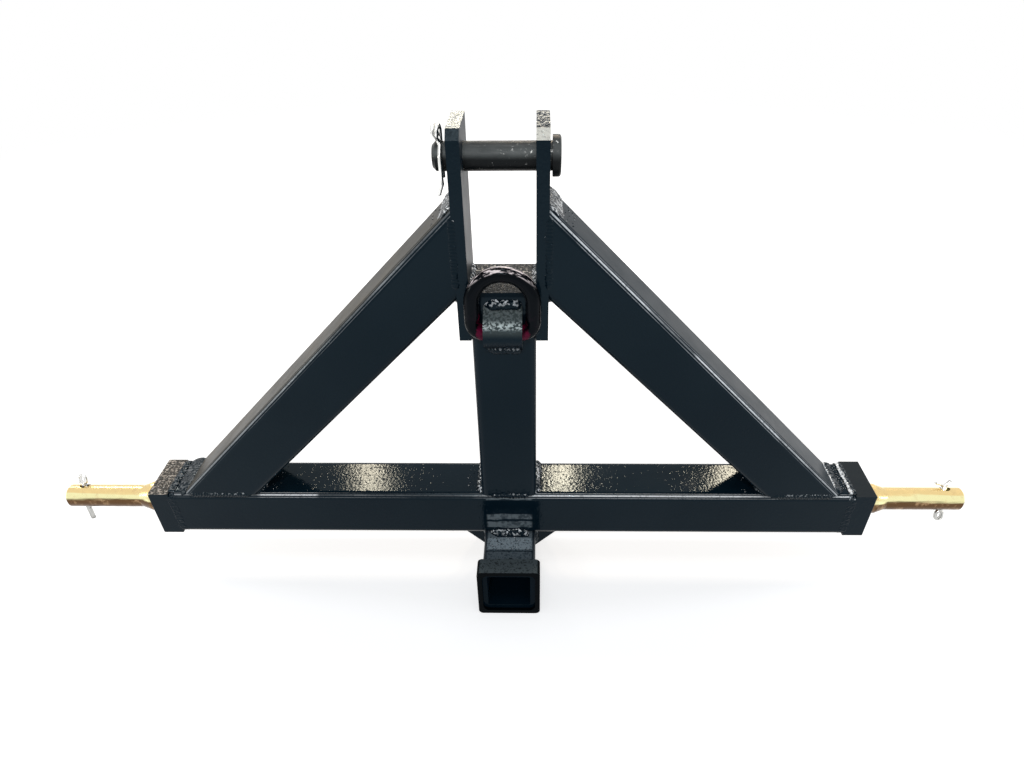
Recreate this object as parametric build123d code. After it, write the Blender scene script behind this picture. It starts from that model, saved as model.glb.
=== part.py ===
# Three point hitch frame: a welded A-frame with a top mast, lower link pins and a receiver socket.
# The origin is the middle of the crossbar, on the line through both lower link pins.
# +X is to the right, +Y is away from the receiver's mouth, +Z is up. Millimetres.
from build123d import *
from math import atan, degrees
import os

# Square tube shared by the crossbar, the centre post and both braces
SECTION = 65.0
SECTION_R = 8.0
WALL = 5.0
HALF = SECTION / 2
FLAT_HALF = HALF - SECTION_R

# Crossbar and the thick blocks on its ends
HALF_SPAN = 438.0
BLOCK_T = 25.0
BLOCK_EDGE = 0.8
SEAM_X = HALF_SPAN - BLOCK_T

# Lower link pins, cross drilled for a split pin or a linchpin
LINK_PIN_R = 14.0
LINK_PIN_END = 561.0
LINK_PIN_TIP = 3.0
SHOULDER_R = 18.5
SHOULDER_T = 14.0
SHOULDER_CONE = 13.0
SPIGOT_R = 11.0
SPLIT_X = 540.0
SPLIT_TILT = 20.0
SPLIT_HOLE_R = 6.0

# Centre post and its cap
POST_TOP = 300.0
CAP_T = 5.0

# Mast plates, which carry the top link pin
PLATE_T = 12.0
PLATE_BOTTOM = 247.0
PLATE_TOP = 448.0
PLATE_CHAMFER = 8.0
PLATE_OUTER = HALF + PLATE_T
TOP_PIN_Z = 418.0
TOP_PIN_R = 12.7
TOP_PIN_FIT = 0.08
TOP_PIN_END = -60.0
TOP_PIN_TIP = 3.0
HEAD_START = 47.0
HEAD_T = 7.5
HEAD_R = 17.8
HEAD_ROUND = 2.5

# Hairpin clip through the top link pin: heights from the pin's axis, depths from the straight leg
CLIP_X = -52.0
CLIP_WIRE_R = 2.0
CLIP_HOLE_R = 2.4
CLIP_GRIP_GAP = 0.6
CLIP_BOW = TOP_PIN_R + CLIP_WIRE_R + CLIP_GRIP_GAP
CLIP_BOW_TOP = 7.2
CLIP_BOW_FOOT = -15.0
CLIP_BOW_BEND = 8.0
CLIP_LEG_END = -24.0
CLIP_EYE_TOP = 29.0
CLIP_EYE_FOOT = 19.5
CLIP_EYE_W = 11.0
CLIP_EYE_BEND = 5.4
CLIP_WAIST = (-6.5, 15.8)
CLIP_WAIST_BEND = 3.0
CLIP_TIP_FLARE = 5.0
CLIP_TIP_END = -26.5

# Braces at 45 degrees: the centre line runs where X + Z is BRACE_SUM
BRACE_SUM = 380.5
BRACE_REACH = SECTION / 2 * 2**0.5
BRACE_HEAD_TOP = BRACE_SUM + BRACE_REACH - PLATE_OUTER
BRACE_HEAD_LOW = BRACE_SUM - BRACE_REACH - PLATE_OUTER
BRACE_HEEL = BRACE_SUM + BRACE_REACH - HALF
BRACE_TOE = BRACE_SUM - BRACE_REACH - HALF

# Receiver under the crossbar
RECEIVER = 63.5
RECEIVER_R = 8.0
RECEIVER_WALL = 6.0
RECEIVER_FRONT = -97.0
RECEIVER_BACK = 55.0
RECEIVER_Z = -HALF - RECEIVER / 2
HITCH_HOLE_Y = -37.5
HITCH_HOLE_R = 8.25
COLLAR = 75.0
COLLAR_R = 6.0
COLLAR_FRONT = -101.0
COLLAR_BACK = -79.5
GUSSET_LEG = 51.0
GUSSET_T = 8.0

# Lashing ring and its bracket on the post
RING_STOCK_R = 7.5
RING_PIVOT_Y = -43.0
RING_PIVOT_Z = 262.0
RING_HALF_WIDTH = 29.75
RING_HEIGHT = 61.0
RING_CORNER_R = 12.0
RING_LEAN = degrees(atan(2.5 / RING_HEIGHT))
BRACKET_WIDTH = 38.0
BRACKET_T = 6.0
BRACKET_FOOT = 8.1
BRACKET_BORE_R = 8.7
BRACKET_HALF_HEIGHT = 25.0

# Weld beads: radii, then how deep groove beads lie, then the gap left at a bead's end
FILLET_BEAD = 6.5
GROOVE_BEAD = 5.0
GUSSET_BEAD = 4.0
GROOVE_DEPTH = 4.0
BEAD_STOP = 1.0
TUBE_SEAM_INSET = 2.0
TACK_HALF_LENGTH = 6.5
BLOCK_BEAD_W = 8.0
BLOCK_BEAD_H = 1.8
BLOCK_BEAD_CHAMFER = 1.1

# How far a drill runs past each face
DRILL_OVER = 1.0


def square_profile(side, corner):
    """Square with rounded corners."""
    return RectangleRounded(side, side, corner)


def square_bar(plane, side, corner, length):
    """Solid bar of a rounded square section, from the plane along its normal."""
    return extrude(plane * square_profile(side, corner), amount=length)


def square_tube(plane, side, corner, wall, length):
    """Tube of a rounded square section, open at both ends."""
    ring = square_profile(side, corner) - square_profile(side - 2 * wall, corner - wall)
    return extrude(plane * ring, amount=length)


def rod(start, end, radius):
    """Round rod from one point to another."""
    axis = Vector(*end) - Vector(*start)
    plane = Plane(origin=start, z_dir=axis)
    return extrude(plane * Circle(radius), amount=axis.length)


def weld_run(start, end, radius, neighbours):
    """Weld bead along a seam: a round rod less the parts that it joins."""
    bead = rod(start, end, radius)
    for part in neighbours:
        bead = bead - part
    return bead


def both_sides(part):
    """The part and its mirror image across the middle plane."""
    return [part, mirror(part, about=Plane.YZ)]


def front_and_back(part):
    """The part and its mirror image across the plane of the frame."""
    return [part, mirror(part, about=Plane.XZ)]


def group(parts):
    """Several separate solids kept in one compound."""
    solids = []
    for part in parts:
        solids.extend(part.solids())
    return Compound(children=solids)


def bar_plane():
    """Section plane at the crossbar's left end."""
    return Plane(origin=(-SEAM_X, 0, 0), z_dir=(1, 0, 0), x_dir=(0, 1, 0))


def crossbar_tube():
    """Crossbar between the end blocks."""
    return square_tube(bar_plane(), SECTION, SECTION_R, WALL, 2 * SEAM_X)


def crossbar_form():
    """Crossbar with its hollow filled, to trim the welds against."""
    return square_bar(bar_plane(), SECTION, SECTION_R, 2 * SEAM_X)


def end_block():
    """Right end block, drilled for the spigot of the link pin."""
    block = Pos(SEAM_X + BLOCK_T / 2, 0, 0) * Box(BLOCK_T, SECTION, SECTION)
    block = chamfer(block.faces().sort_by(Axis.X)[-1].edges(), BLOCK_EDGE)
    return block - rod((SEAM_X, 0, 0), (HALF_SPAN, 0, 0), SPIGOT_R)


def link_pin():
    """Right lower link pin: spigot, coned shoulder and plain shank with a cross hole."""
    cone_start = HALF_SPAN + SHOULDER_T
    cone_end = cone_start + SHOULDER_CONE
    outline = Polyline(
        (SEAM_X, 0),
        (SEAM_X, SPIGOT_R),
        (HALF_SPAN, SPIGOT_R),
        (HALF_SPAN, SHOULDER_R),
        (cone_start, SHOULDER_R),
        (cone_end, LINK_PIN_R),
        (LINK_PIN_END - LINK_PIN_TIP, LINK_PIN_R),
        (LINK_PIN_END, LINK_PIN_R - LINK_PIN_TIP),
        (LINK_PIN_END, 0),
        close=True,
    )
    pin = revolve(make_face(outline), Axis.X)
    hole = Rot(X=-SPLIT_TILT) * Cylinder(SPLIT_HOLE_R, 2 * (LINK_PIN_R + DRILL_OVER))
    return pin - Pos(SPLIT_X, 0, 0) * hole


def post_tube():
    """Centre post from the crossbar to its cap."""
    plane = Plane.XY.offset(HALF)
    return square_tube(plane, SECTION, SECTION_R, WALL, POST_TOP - CAP_T - HALF)


def post_form():
    """Centre post filled and capped, to trim the welds against."""
    bar = square_bar(Plane.XY.offset(HALF), SECTION, SECTION_R, POST_TOP - CAP_T - HALF)
    return bar + post_cap()


def post_cap():
    """Flat cap that closes the post between the mast plates."""
    return Pos(0, 0, POST_TOP - CAP_T / 2) * Box(SECTION, SECTION, CAP_T)


def mast_plate():
    """Right mast plate with its front top corner cut back and the top link hole."""
    height = PLATE_TOP - PLATE_BOTTOM
    middle = PLATE_BOTTOM + height / 2
    plate = Pos(HALF + PLATE_T / 2, 0, middle) * Box(PLATE_T, SECTION, height)
    front_top = plate.edges().filter_by(Axis.X).group_by(Axis.Z)[-1].sort_by(Axis.Y)[0]
    plate = chamfer(front_top, PLATE_CHAMFER)
    hole_r = TOP_PIN_R + TOP_PIN_FIT
    inner = (HALF - DRILL_OVER, 0, TOP_PIN_Z)
    outer = (PLATE_OUTER + DRILL_OVER, 0, TOP_PIN_Z)
    return plate - rod(inner, outer, hole_r)


def brace_plane():
    """Section plane of the right brace, square to its centre line and beyond its foot."""
    start = BRACE_SUM + SECTION
    return Plane(origin=(start, 0, -SECTION), z_dir=(-1, 0, 1), x_dir=(0, 1, 0))


def brace_room():
    """Everything above the crossbar and outside the right mast plate."""
    room = Box(2 * HALF_SPAN, 2 * SECTION, 2 * HALF_SPAN)
    return Pos(PLATE_OUTER + HALF_SPAN, 0, HALF + HALF_SPAN) * room


def brace_tube():
    """Right brace, cut upright at its head and level at its foot."""
    length = (BRACE_SUM + 2 * SECTION) * 2**0.5
    tube = square_tube(brace_plane(), SECTION, SECTION_R, WALL, length)
    return tube & brace_room()


def brace_form():
    """Right brace with its hollow filled, to trim the welds against."""
    length = (BRACE_SUM + 2 * SECTION) * 2**0.5
    return square_bar(brace_plane(), SECTION, SECTION_R, length) & brace_room()


def top_link_pin():
    """Headed top link pin, chamfered at its tip and drilled for the clip."""
    shank = rod((TOP_PIN_END, 0, TOP_PIN_Z), (HEAD_START, 0, TOP_PIN_Z), TOP_PIN_R)
    tip = shank.edges().filter_by(GeomType.CIRCLE).sort_by(Axis.X)[0]
    shank = chamfer(tip, TOP_PIN_TIP)
    head = rod((HEAD_START, 0, TOP_PIN_Z), (HEAD_START + HEAD_T, 0, TOP_PIN_Z), HEAD_R)
    rims = head.edges().filter_by(GeomType.CIRCLE).sort_by(Axis.X)
    head = fillet(rims[-1], HEAD_ROUND)
    hole = Pos(CLIP_X, 0, TOP_PIN_Z) * Cylinder(CLIP_HOLE_R, 2 * (TOP_PIN_R + DRILL_OVER))
    return shank + head - hole


def top_pin_clip():
    """Hairpin clip: a straight leg through the pin, an eye on top and a leg bowed round the front."""
    plane = Plane(origin=(CLIP_X, 0, TOP_PIN_Z), x_dir=(0, 1, 0), z_dir=(1, 0, 0))
    bends = [CLIP_EYE_BEND, CLIP_EYE_BEND, CLIP_WAIST_BEND, CLIP_WAIST_BEND, CLIP_BOW_BEND, CLIP_BOW_BEND]
    path = plane * FilletPolyline(
        (0, CLIP_LEG_END),
        (0, CLIP_EYE_TOP),
        (-CLIP_EYE_W, CLIP_EYE_TOP),
        (-CLIP_EYE_W, CLIP_EYE_FOOT),
        CLIP_WAIST,
        (-CLIP_BOW, CLIP_BOW_TOP),
        (-CLIP_BOW, CLIP_BOW_FOOT),
        (-CLIP_BOW - CLIP_TIP_FLARE, CLIP_TIP_END),
        radius=bends,
    )
    section = Plane(origin=path @ 0, z_dir=path % 0) * Circle(CLIP_WIRE_R)
    return sweep(section, path=path)


def receiver_plane():
    """Section plane at the receiver's mouth."""
    origin = (0, RECEIVER_FRONT, RECEIVER_Z)
    return Plane(origin=origin, z_dir=(0, 1, 0), x_dir=(1, 0, 0))


def receiver_tube():
    """Receiver tube with its cross hole for a hitch pin."""
    length = RECEIVER_BACK - RECEIVER_FRONT
    tube = square_tube(receiver_plane(), RECEIVER, RECEIVER_R, RECEIVER_WALL, length)
    side = RECEIVER / 2 + DRILL_OVER
    left = (-side, HITCH_HOLE_Y, RECEIVER_Z)
    right = (side, HITCH_HOLE_Y, RECEIVER_Z)
    return tube - rod(left, right, HITCH_HOLE_R)


def receiver_form():
    """Receiver tube with its hollow filled, to trim the welds against."""
    length = RECEIVER_BACK - RECEIVER_FRONT
    return square_bar(receiver_plane(), RECEIVER, RECEIVER_R, length)


def receiver_collar():
    """Reinforcing collar round the mouth, standing a little ahead of the tube."""
    plane = Plane(origin=(0, COLLAR_FRONT, RECEIVER_Z), z_dir=(0, 1, 0), x_dir=(1, 0, 0))
    ring = square_profile(COLLAR, COLLAR_R) - square_profile(RECEIVER, RECEIVER_R)
    return extrude(plane * ring, amount=COLLAR_BACK - COLLAR_FRONT)


def gusset():
    """Right gusset between the crossbar's underside and the receiver's side."""
    side = RECEIVER / 2
    outline = Polyline(
        (side, -HALF),
        (side + GUSSET_LEG, -HALF),
        (side, -HALF - GUSSET_LEG),
        close=True,
    )
    return extrude(Plane.XZ * make_face(outline), amount=GUSSET_T / 2, both=True)


def ring_bracket():
    """Bent strap over the ring's bar, with both feet on the post."""
    plane = Plane(origin=(0, 0, RING_PIVOT_Z), x_dir=(0, 1, 0), z_dir=(1, 0, 0))
    outer_r = BRACKET_BORE_R + BRACKET_T
    outer = strap_outline(outer_r, BRACKET_HALF_HEIGHT)
    inner = strap_outline(BRACKET_BORE_R, BRACKET_HALF_HEIGHT - BRACKET_FOOT)
    return extrude(plane * (outer - inner), amount=BRACKET_WIDTH / 2, both=True)


def strap_outline(nose_r, foot):
    """Outline that wraps a round nose and spreads to two feet on the post's face."""
    nose = Pos(RING_PIVOT_Y, 0) * Circle(nose_r)
    base = Line((-HALF, -foot), (-HALF, foot))
    clear_of_post = Pos(-HALF - SECTION / 2, 0) * Rectangle(SECTION, SECTION)
    return make_hull([*nose.edges(), base]) & clear_of_post


def ring():
    """Ring of round bar, D-shaped, leaning back against the post."""
    shoulder = RING_HEIGHT - RING_HALF_WIDTH
    side = FilletPolyline(
        (0, 0),
        (RING_HALF_WIDTH, 0),
        (RING_HALF_WIDTH, shoulder),
        radius=RING_CORNER_R,
    )
    crown = CenterArc((0, shoulder), RING_HALF_WIDTH, 0, 90)
    path = Plane.XZ * (side + crown)
    section = Plane(origin=path @ 0, z_dir=path % 0) * Circle(RING_STOCK_R)
    half = sweep(section, path=path)
    whole = half + mirror(half, about=Plane.YZ)
    return Pos(0, RING_PIVOT_Y, RING_PIVOT_Z) * Rot(X=-RING_LEAN) * whole


def end_block_weld():
    """Bead round the crossbar where it meets the right end block."""
    plane = Plane(origin=(SEAM_X - BLOCK_BEAD_W, 0, 0), z_dir=(1, 0, 0), x_dir=(0, 1, 0))
    outer = square_profile(SECTION + 2 * BLOCK_BEAD_H, SECTION_R + BLOCK_BEAD_H)
    ring_face = outer - square_profile(SECTION, SECTION_R)
    bead = extrude(plane * ring_face, amount=BLOCK_BEAD_W)
    faces = bead.faces().sort_by(Axis.X)
    rims = [*faces[0].outer_wire().edges(), *faces[-1].outer_wire().edges()]
    return chamfer(rims, BLOCK_BEAD_CHAMFER)


def cross_run(x, z, radius, half_length, neighbours):
    """Bead that runs from front to back."""
    return weld_run((x, -half_length, z), (x, half_length, z), radius, neighbours)


def brace_head_welds(brace, plate):
    """Beads where the right brace's head meets the mast plate."""
    top = cross_run(PLATE_OUTER, BRACE_HEAD_TOP, FILLET_BEAD, FLAT_HALF, [brace, plate])
    low = cross_run(PLATE_OUTER, BRACE_HEAD_LOW, FILLET_BEAD, FLAT_HALF, [brace, plate])
    depth = -HALF + GROOVE_DEPTH
    low_end = (PLATE_OUTER, depth, BRACE_HEAD_LOW + SECTION_R)
    high_end = (PLATE_OUTER, depth, BRACE_HEAD_TOP - SECTION_R)
    seam = weld_run(low_end, high_end, GROOVE_BEAD, [brace, plate])
    return [top, low, *front_and_back(seam)]


def brace_foot_welds(brace, bar):
    """Beads where the right brace's foot meets the crossbar."""
    heel = cross_run(BRACE_HEEL, HALF, FILLET_BEAD, FLAT_HALF, [brace, bar])
    toe = cross_run(BRACE_TOE, HALF, FILLET_BEAD, FLAT_HALF, [brace, bar])
    depth = -HALF + GROOVE_DEPTH
    toe_end = (BRACE_TOE + SECTION_R, depth, HALF)
    heel_end = (BRACE_HEEL - SECTION_R, depth, HALF)
    seam = weld_run(toe_end, heel_end, GROOVE_BEAD, [brace, bar])
    return [heel, toe, *front_and_back(seam)]


def post_foot_welds(post, bar):
    """Beads round the foot of the post."""
    side = cross_run(HALF, HALF, FILLET_BEAD, FLAT_HALF, [post, bar])
    depth = -HALF + GROOVE_DEPTH
    seam = weld_run((-FLAT_HALF, depth, HALF), (FLAT_HALF, depth, HALF), GROOVE_BEAD, [post, bar])
    return [*both_sides(side), *front_and_back(seam)]


def mast_plate_welds(post, plate):
    """Groove welds down both edges of the right plate, and a bead under its end."""
    depth = -HALF + GROOVE_DEPTH
    low_end = (HALF, depth, PLATE_BOTTOM + BEAD_STOP)
    high_end = (HALF, depth, POST_TOP - CAP_T)
    seam = weld_run(low_end, high_end, GROOVE_BEAD, [post, plate])
    under = cross_run(HALF, PLATE_BOTTOM, GROOVE_BEAD, FLAT_HALF, [post, plate])
    return [under, *front_and_back(seam)]


def receiver_welds(bar, tube):
    """Beads across the receiver at both faces of the crossbar and along its sides."""
    reach = RECEIVER / 2 - RECEIVER_R
    front = weld_run((-reach, -HALF, -HALF), (reach, -HALF, -HALF), FILLET_BEAD, [bar, tube])
    side = RECEIVER / 2 - TUBE_SEAM_INSET
    gap = GUSSET_T / 2 + GUSSET_BEAD + BEAD_STOP
    run = weld_run((side, gap, -HALF), (side, FLAT_HALF, -HALF), GROOVE_BEAD, [bar, tube])
    quarter = [piece for half in both_sides(run) for piece in front_and_back(half)]
    return [*front_and_back(front), *quarter]


def gusset_welds(bar, tube, right_gusset):
    """Beads along the right gusset, on the crossbar and on the receiver."""
    side = RECEIVER / 2
    face = -GUSSET_T / 2
    trim = [bar, tube, right_gusset]
    inner = (side + GUSSET_BEAD + BEAD_STOP, face, -HALF)
    outer = (side + GUSSET_LEG - GUSSET_BEAD, face, -HALF)
    along_bar = weld_run(inner, outer, GUSSET_BEAD, trim)
    low = (side, face, -HALF - GUSSET_LEG + GUSSET_BEAD)
    high = (side, face, -HALF - GUSSET_BEAD - BEAD_STOP)
    along_tube = weld_run(low, high, GUSSET_BEAD, trim)
    return [*front_and_back(along_bar), *front_and_back(along_tube)]


def collar_tacks(tube, collar):
    """Short tacks behind the collar, one on each side of the tube."""
    top = RECEIVER_Z + RECEIVER / 2
    left = (-TACK_HALF_LENGTH, COLLAR_BACK, top)
    right = (TACK_HALF_LENGTH, COLLAR_BACK, top)
    axis = Axis((0, COLLAR_BACK, RECEIVER_Z), (0, 1, 0))
    tack = rod(left, right, GROOVE_BEAD)
    return [tack.rotate(axis, 90 * turn) - tube - collar for turn in range(4)]


def bracket_welds(post, strap):
    """Beads along both feet of the ring's bracket."""
    reach = BRACKET_WIDTH / 2 - BEAD_STOP
    beads = []
    for side in (-1, 1):
        z = RING_PIVOT_Z + side * BRACKET_HALF_HEIGHT
        beads.append(weld_run((-reach, -HALF, z), (reach, -HALF, z), GROOVE_BEAD, [post, strap]))
    return beads


def cap_welds(post, plate):
    """Bead between the cap and the right mast plate."""
    return cross_run(HALF, POST_TOP, GROOVE_BEAD, FLAT_HALF, [post, plate])


def build():
    """Make every sub-part, keyed by its node's name."""
    bar_form = crossbar_form()
    post = post_form()
    plate = mast_plate()
    brace = brace_form()
    tube = receiver_form()
    collar = receiver_collar()
    right_gusset = gusset()
    strap = ring_bracket()
    nodes = {
        "crossbar_tube": crossbar_tube(),
        "centre_post_tube": post_tube(),
        "post_cap_plate": post_cap(),
        "receiver_tube": receiver_tube(),
        "receiver_collar": collar,
        "top_link_pin": top_link_pin(),
        "top_pin_clip": top_pin_clip(),
        "ring_bracket": strap,
        "lashing_ring": ring(),
        "post_foot_welds": group(post_foot_welds(post, bar_form)),
        "receiver_welds": group(receiver_welds(bar_form, tube)),
        "collar_tack_welds": group(collar_tacks(tube, collar)),
        "ring_bracket_welds": group(bracket_welds(post, strap)),
        "post_cap_welds": group(both_sides(cap_welds(post, plate))),
    }
    pairs = {
        "end_block": end_block(),
        "lower_link_pin": link_pin(),
        "mast_plate": plate,
        "brace_tube": brace_tube(),
        "receiver_gusset": right_gusset,
        "end_block_weld": end_block_weld(),
        "brace_head_welds": group(brace_head_welds(brace, plate)),
        "brace_foot_welds": group(brace_foot_welds(brace, bar_form)),
        "mast_plate_welds": group(mast_plate_welds(post, plate)),
        "gusset_welds": group(gusset_welds(bar_form, tube, right_gusset)),
    }
    for name, part in pairs.items():
        right, left = both_sides(part)
        nodes["right_" + name] = right
        nodes["left_" + name] = left
    return nodes


os.makedirs("parts", exist_ok=True)
for node, part in build().items():
    export_step(part, f"parts/{node}.step")
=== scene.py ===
"""Dressed model of a three point hitch frame, in the frame's own coordinates.

Metres, with +X to the right, +Y away from the receiver's mouth and +Z up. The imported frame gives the
tubes, plates, pins and ring; this script adds rippled weld beads, weld spatter, split pins and a
coiled hairpin clip, and finishes every surface in thick gloss enamel, zinc plate or paint.
"""
import logging
import random
from collections.abc import Iterable
from dataclasses import dataclass, replace
from enum import Enum
from math import cos, pi, radians, sin, sqrt

import bmesh
import bpy
from mathutils import Matrix, Vector, noise


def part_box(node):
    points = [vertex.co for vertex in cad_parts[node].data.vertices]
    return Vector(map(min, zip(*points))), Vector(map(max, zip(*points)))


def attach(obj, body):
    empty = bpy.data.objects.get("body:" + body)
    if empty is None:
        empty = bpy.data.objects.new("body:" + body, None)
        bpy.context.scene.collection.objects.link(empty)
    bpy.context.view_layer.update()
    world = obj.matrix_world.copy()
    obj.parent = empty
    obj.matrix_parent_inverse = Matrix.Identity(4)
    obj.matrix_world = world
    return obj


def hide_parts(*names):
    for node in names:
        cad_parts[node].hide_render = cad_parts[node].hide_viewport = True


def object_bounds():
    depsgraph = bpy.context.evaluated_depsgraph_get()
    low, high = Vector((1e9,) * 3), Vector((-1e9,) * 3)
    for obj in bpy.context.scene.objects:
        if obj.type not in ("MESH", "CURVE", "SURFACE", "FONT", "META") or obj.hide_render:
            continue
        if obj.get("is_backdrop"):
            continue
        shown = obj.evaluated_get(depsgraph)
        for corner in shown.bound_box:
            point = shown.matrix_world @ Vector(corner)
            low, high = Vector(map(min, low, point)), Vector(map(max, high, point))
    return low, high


LOG = logging.getLogger("hitch")
IMAGE_WIDTH = 1024
IMAGE_HEIGHT = 768
MERGE_DISTANCE = 1e-6

Colour = tuple[float, float, float]
Point = tuple[float, float, float]
Socket = bpy.types.NodeSocket
Mesh = bmesh.types.BMesh
Edge = bmesh.types.BMEdge
Vert = bmesh.types.BMVert


class Side(Enum):
    """Side of the frame, as the sign of its X."""

    LEFT = -1
    RIGHT = 1

    @property
    def label(self) -> str:
        """Side's word in the names of nodes and pieces."""
        return self.name.lower()


class Body(Enum):
    """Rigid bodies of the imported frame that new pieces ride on."""

    FRAME = "frame"
    PIN_CLIP = "pin_clip"


# Finishes


class Graph:
    """Shader node tree of one material, with the steps that the finishes share."""

    def __init__(self, name: str) -> None:
        """Start a material with one Principled shader.

        Args:
            name: the material's name.
        """
        self.material = bpy.data.materials.new(name)
        self.material.use_nodes = True
        self.tree = self.material.node_tree
        self.tree.nodes.clear()
        self.shader = self.tree.nodes.new("ShaderNodeBsdfPrincipled")
        output = self.tree.nodes.new("ShaderNodeOutputMaterial")
        self.tree.links.new(self.shader.outputs["BSDF"], output.inputs["Surface"])
        coordinates = self.tree.nodes.new("ShaderNodeTexCoord")
        self.place = coordinates.outputs["Object"]
        self.facing = coordinates.outputs["Normal"]

    def feed(self, socket: Socket, value: Socket | float | Colour) -> None:
        """Link or set one input.

        Args:
            socket: the input to feed.
            value: a socket to link, a number or a colour.
        """
        if isinstance(value, bpy.types.NodeSocket):
            self.tree.links.new(value, socket)
        elif isinstance(value, tuple) and len(socket.default_value) == 4:
            socket.default_value = (*value, 1.0)
        else:
            socket.default_value = value

    def surface(self, **inputs: Socket | float | Colour) -> None:
        """Feed the shader's inputs, named in lower case with underscores.

        Args:
            inputs: input name to socket, number or colour.
        """
        names = {socket.name.lower().replace(" ", "_"): socket for socket in self.shader.inputs}
        for name, value in inputs.items():
            self.feed(names[name], value)

    def stretched(self, scale: Point) -> Socket:
        """Object coordinates, stretched.

        Args:
            scale: factor along each axis.

        Returns:
            The mapped coordinates.
        """
        mapping = self.tree.nodes.new("ShaderNodeMapping")
        mapping.inputs["Scale"].default_value = scale
        self.tree.links.new(self.place, mapping.inputs["Vector"])
        return mapping.outputs["Vector"]

    def noise(self, scale: float, detail: float = 2.0, rough: float = 0.5,
              place: Socket | None = None) -> Socket:
        """Smooth noise.

        Args:
            scale: features per metre.
            detail: octaves.
            rough: how much each octave adds.
            place: coordinates, or None for Object coordinates.

        Returns:
            The noise's value, about 0.5 on average.
        """
        node = self.tree.nodes.new("ShaderNodeTexNoise")
        node.inputs["Scale"].default_value = scale
        node.inputs["Detail"].default_value = detail
        node.inputs["Roughness"].default_value = rough
        self.tree.links.new(place or self.place, node.inputs["Vector"])
        return node.outputs["Fac"]

    def cells(self, scale: float) -> Socket:
        """Distance to the nearest of many scattered points.

        Args:
            scale: points per metre.

        Returns:
            The distance, in cells.
        """
        node = self.tree.nodes.new("ShaderNodeTexVoronoi")
        node.inputs["Scale"].default_value = scale
        self.tree.links.new(self.place, node.inputs["Vector"])
        return node.outputs["Distance"]

    def math(self, operation: str, first: Socket | float, second: Socket | float = 0.0) -> Socket:
        """One sum.

        Args:
            operation: Blender's name of the sum.
            first: first term.
            second: second term, where the sum has one.

        Returns:
            The result.
        """
        node = self.tree.nodes.new("ShaderNodeMath")
        node.operation = operation
        self.feed(node.inputs[0], first)
        self.feed(node.inputs[1], second)
        return node.outputs["Value"]

    def times(self, first: Socket | float, *others: Socket | float) -> Socket | float:
        """Product of several factors.

        Args:
            first: the first factor.
            others: the factors after it.

        Returns:
            The product.
        """
        for other in others:
            first = self.math("MULTIPLY", first, other)
        return first

    def gap(self, first: Socket | float, second: Socket | float) -> Socket:
        """How far two values lie apart."""
        return self.math("ABSOLUTE", self.math("SUBTRACT", first, second))

    def between(self, value: Socket, low: float, high: float, to_low: float = 0.0,
                to_high: float = 1.0) -> Socket:
        """Map a range to another, smoothly and clamped.

        Args:
            value: what is mapped.
            low: start of its range.
            high: end of its range.
            to_low: result at the start.
            to_high: result at the end.

        Returns:
            The mapped value.
        """
        node = self.tree.nodes.new("ShaderNodeMapRange")
        node.interpolation_type = "SMOOTHSTEP"
        self.tree.links.new(value, node.inputs["Value"])
        node.inputs["From Min"].default_value = low
        node.inputs["From Max"].default_value = high
        node.inputs["To Min"].default_value = to_low
        node.inputs["To Max"].default_value = to_high
        return node.outputs["Result"]

    def axis(self, vector: Socket, name: str) -> Socket:
        """One component of a vector.

        Args:
            vector: the vector.
            name: X, Y or Z.

        Returns:
            That component.
        """
        node = self.tree.nodes.new("ShaderNodeSeparateXYZ")
        self.tree.links.new(vector, node.inputs["Vector"])
        return node.outputs[name]

    def at(self, name: str) -> Socket:
        """Object coordinate along one axis."""
        return self.axis(self.place, name)

    def lean(self, name: str) -> Socket:
        """Component of the surface's normal along one axis."""
        return self.axis(self.facing, name)

    def blend(self, share: Socket | float, first: Socket | Colour, second: Socket | Colour) -> Socket:
        """Mix two colours.

        Args:
            share: how much of the second.
            first: colour at 0.
            second: colour at 1.

        Returns:
            The mixed colour.
        """
        node = self.tree.nodes.new("ShaderNodeMix")
        node.data_type = "RGBA"
        self.feed(node.inputs["Factor"], share)
        self.feed(node.inputs[6], first)
        self.feed(node.inputs[7], second)
        return node.outputs[2]

    def relief(self, height: Socket, depth: float, under: Socket | None = None) -> Socket:
        """Bump the surface.

        Args:
            height: height, 0 to 1.
            depth: metres from 0 to 1.
            under: normal that this relief lies on.

        Returns:
            The bumped normal.
        """
        node = self.tree.nodes.new("ShaderNodeBump")
        node.inputs["Strength"].default_value = 1.0
        node.inputs["Distance"].default_value = depth
        self.tree.links.new(height, node.inputs["Height"])
        if under is not None:
            self.tree.links.new(under, node.inputs["Normal"])
        return node.outputs["Normal"]


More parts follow.
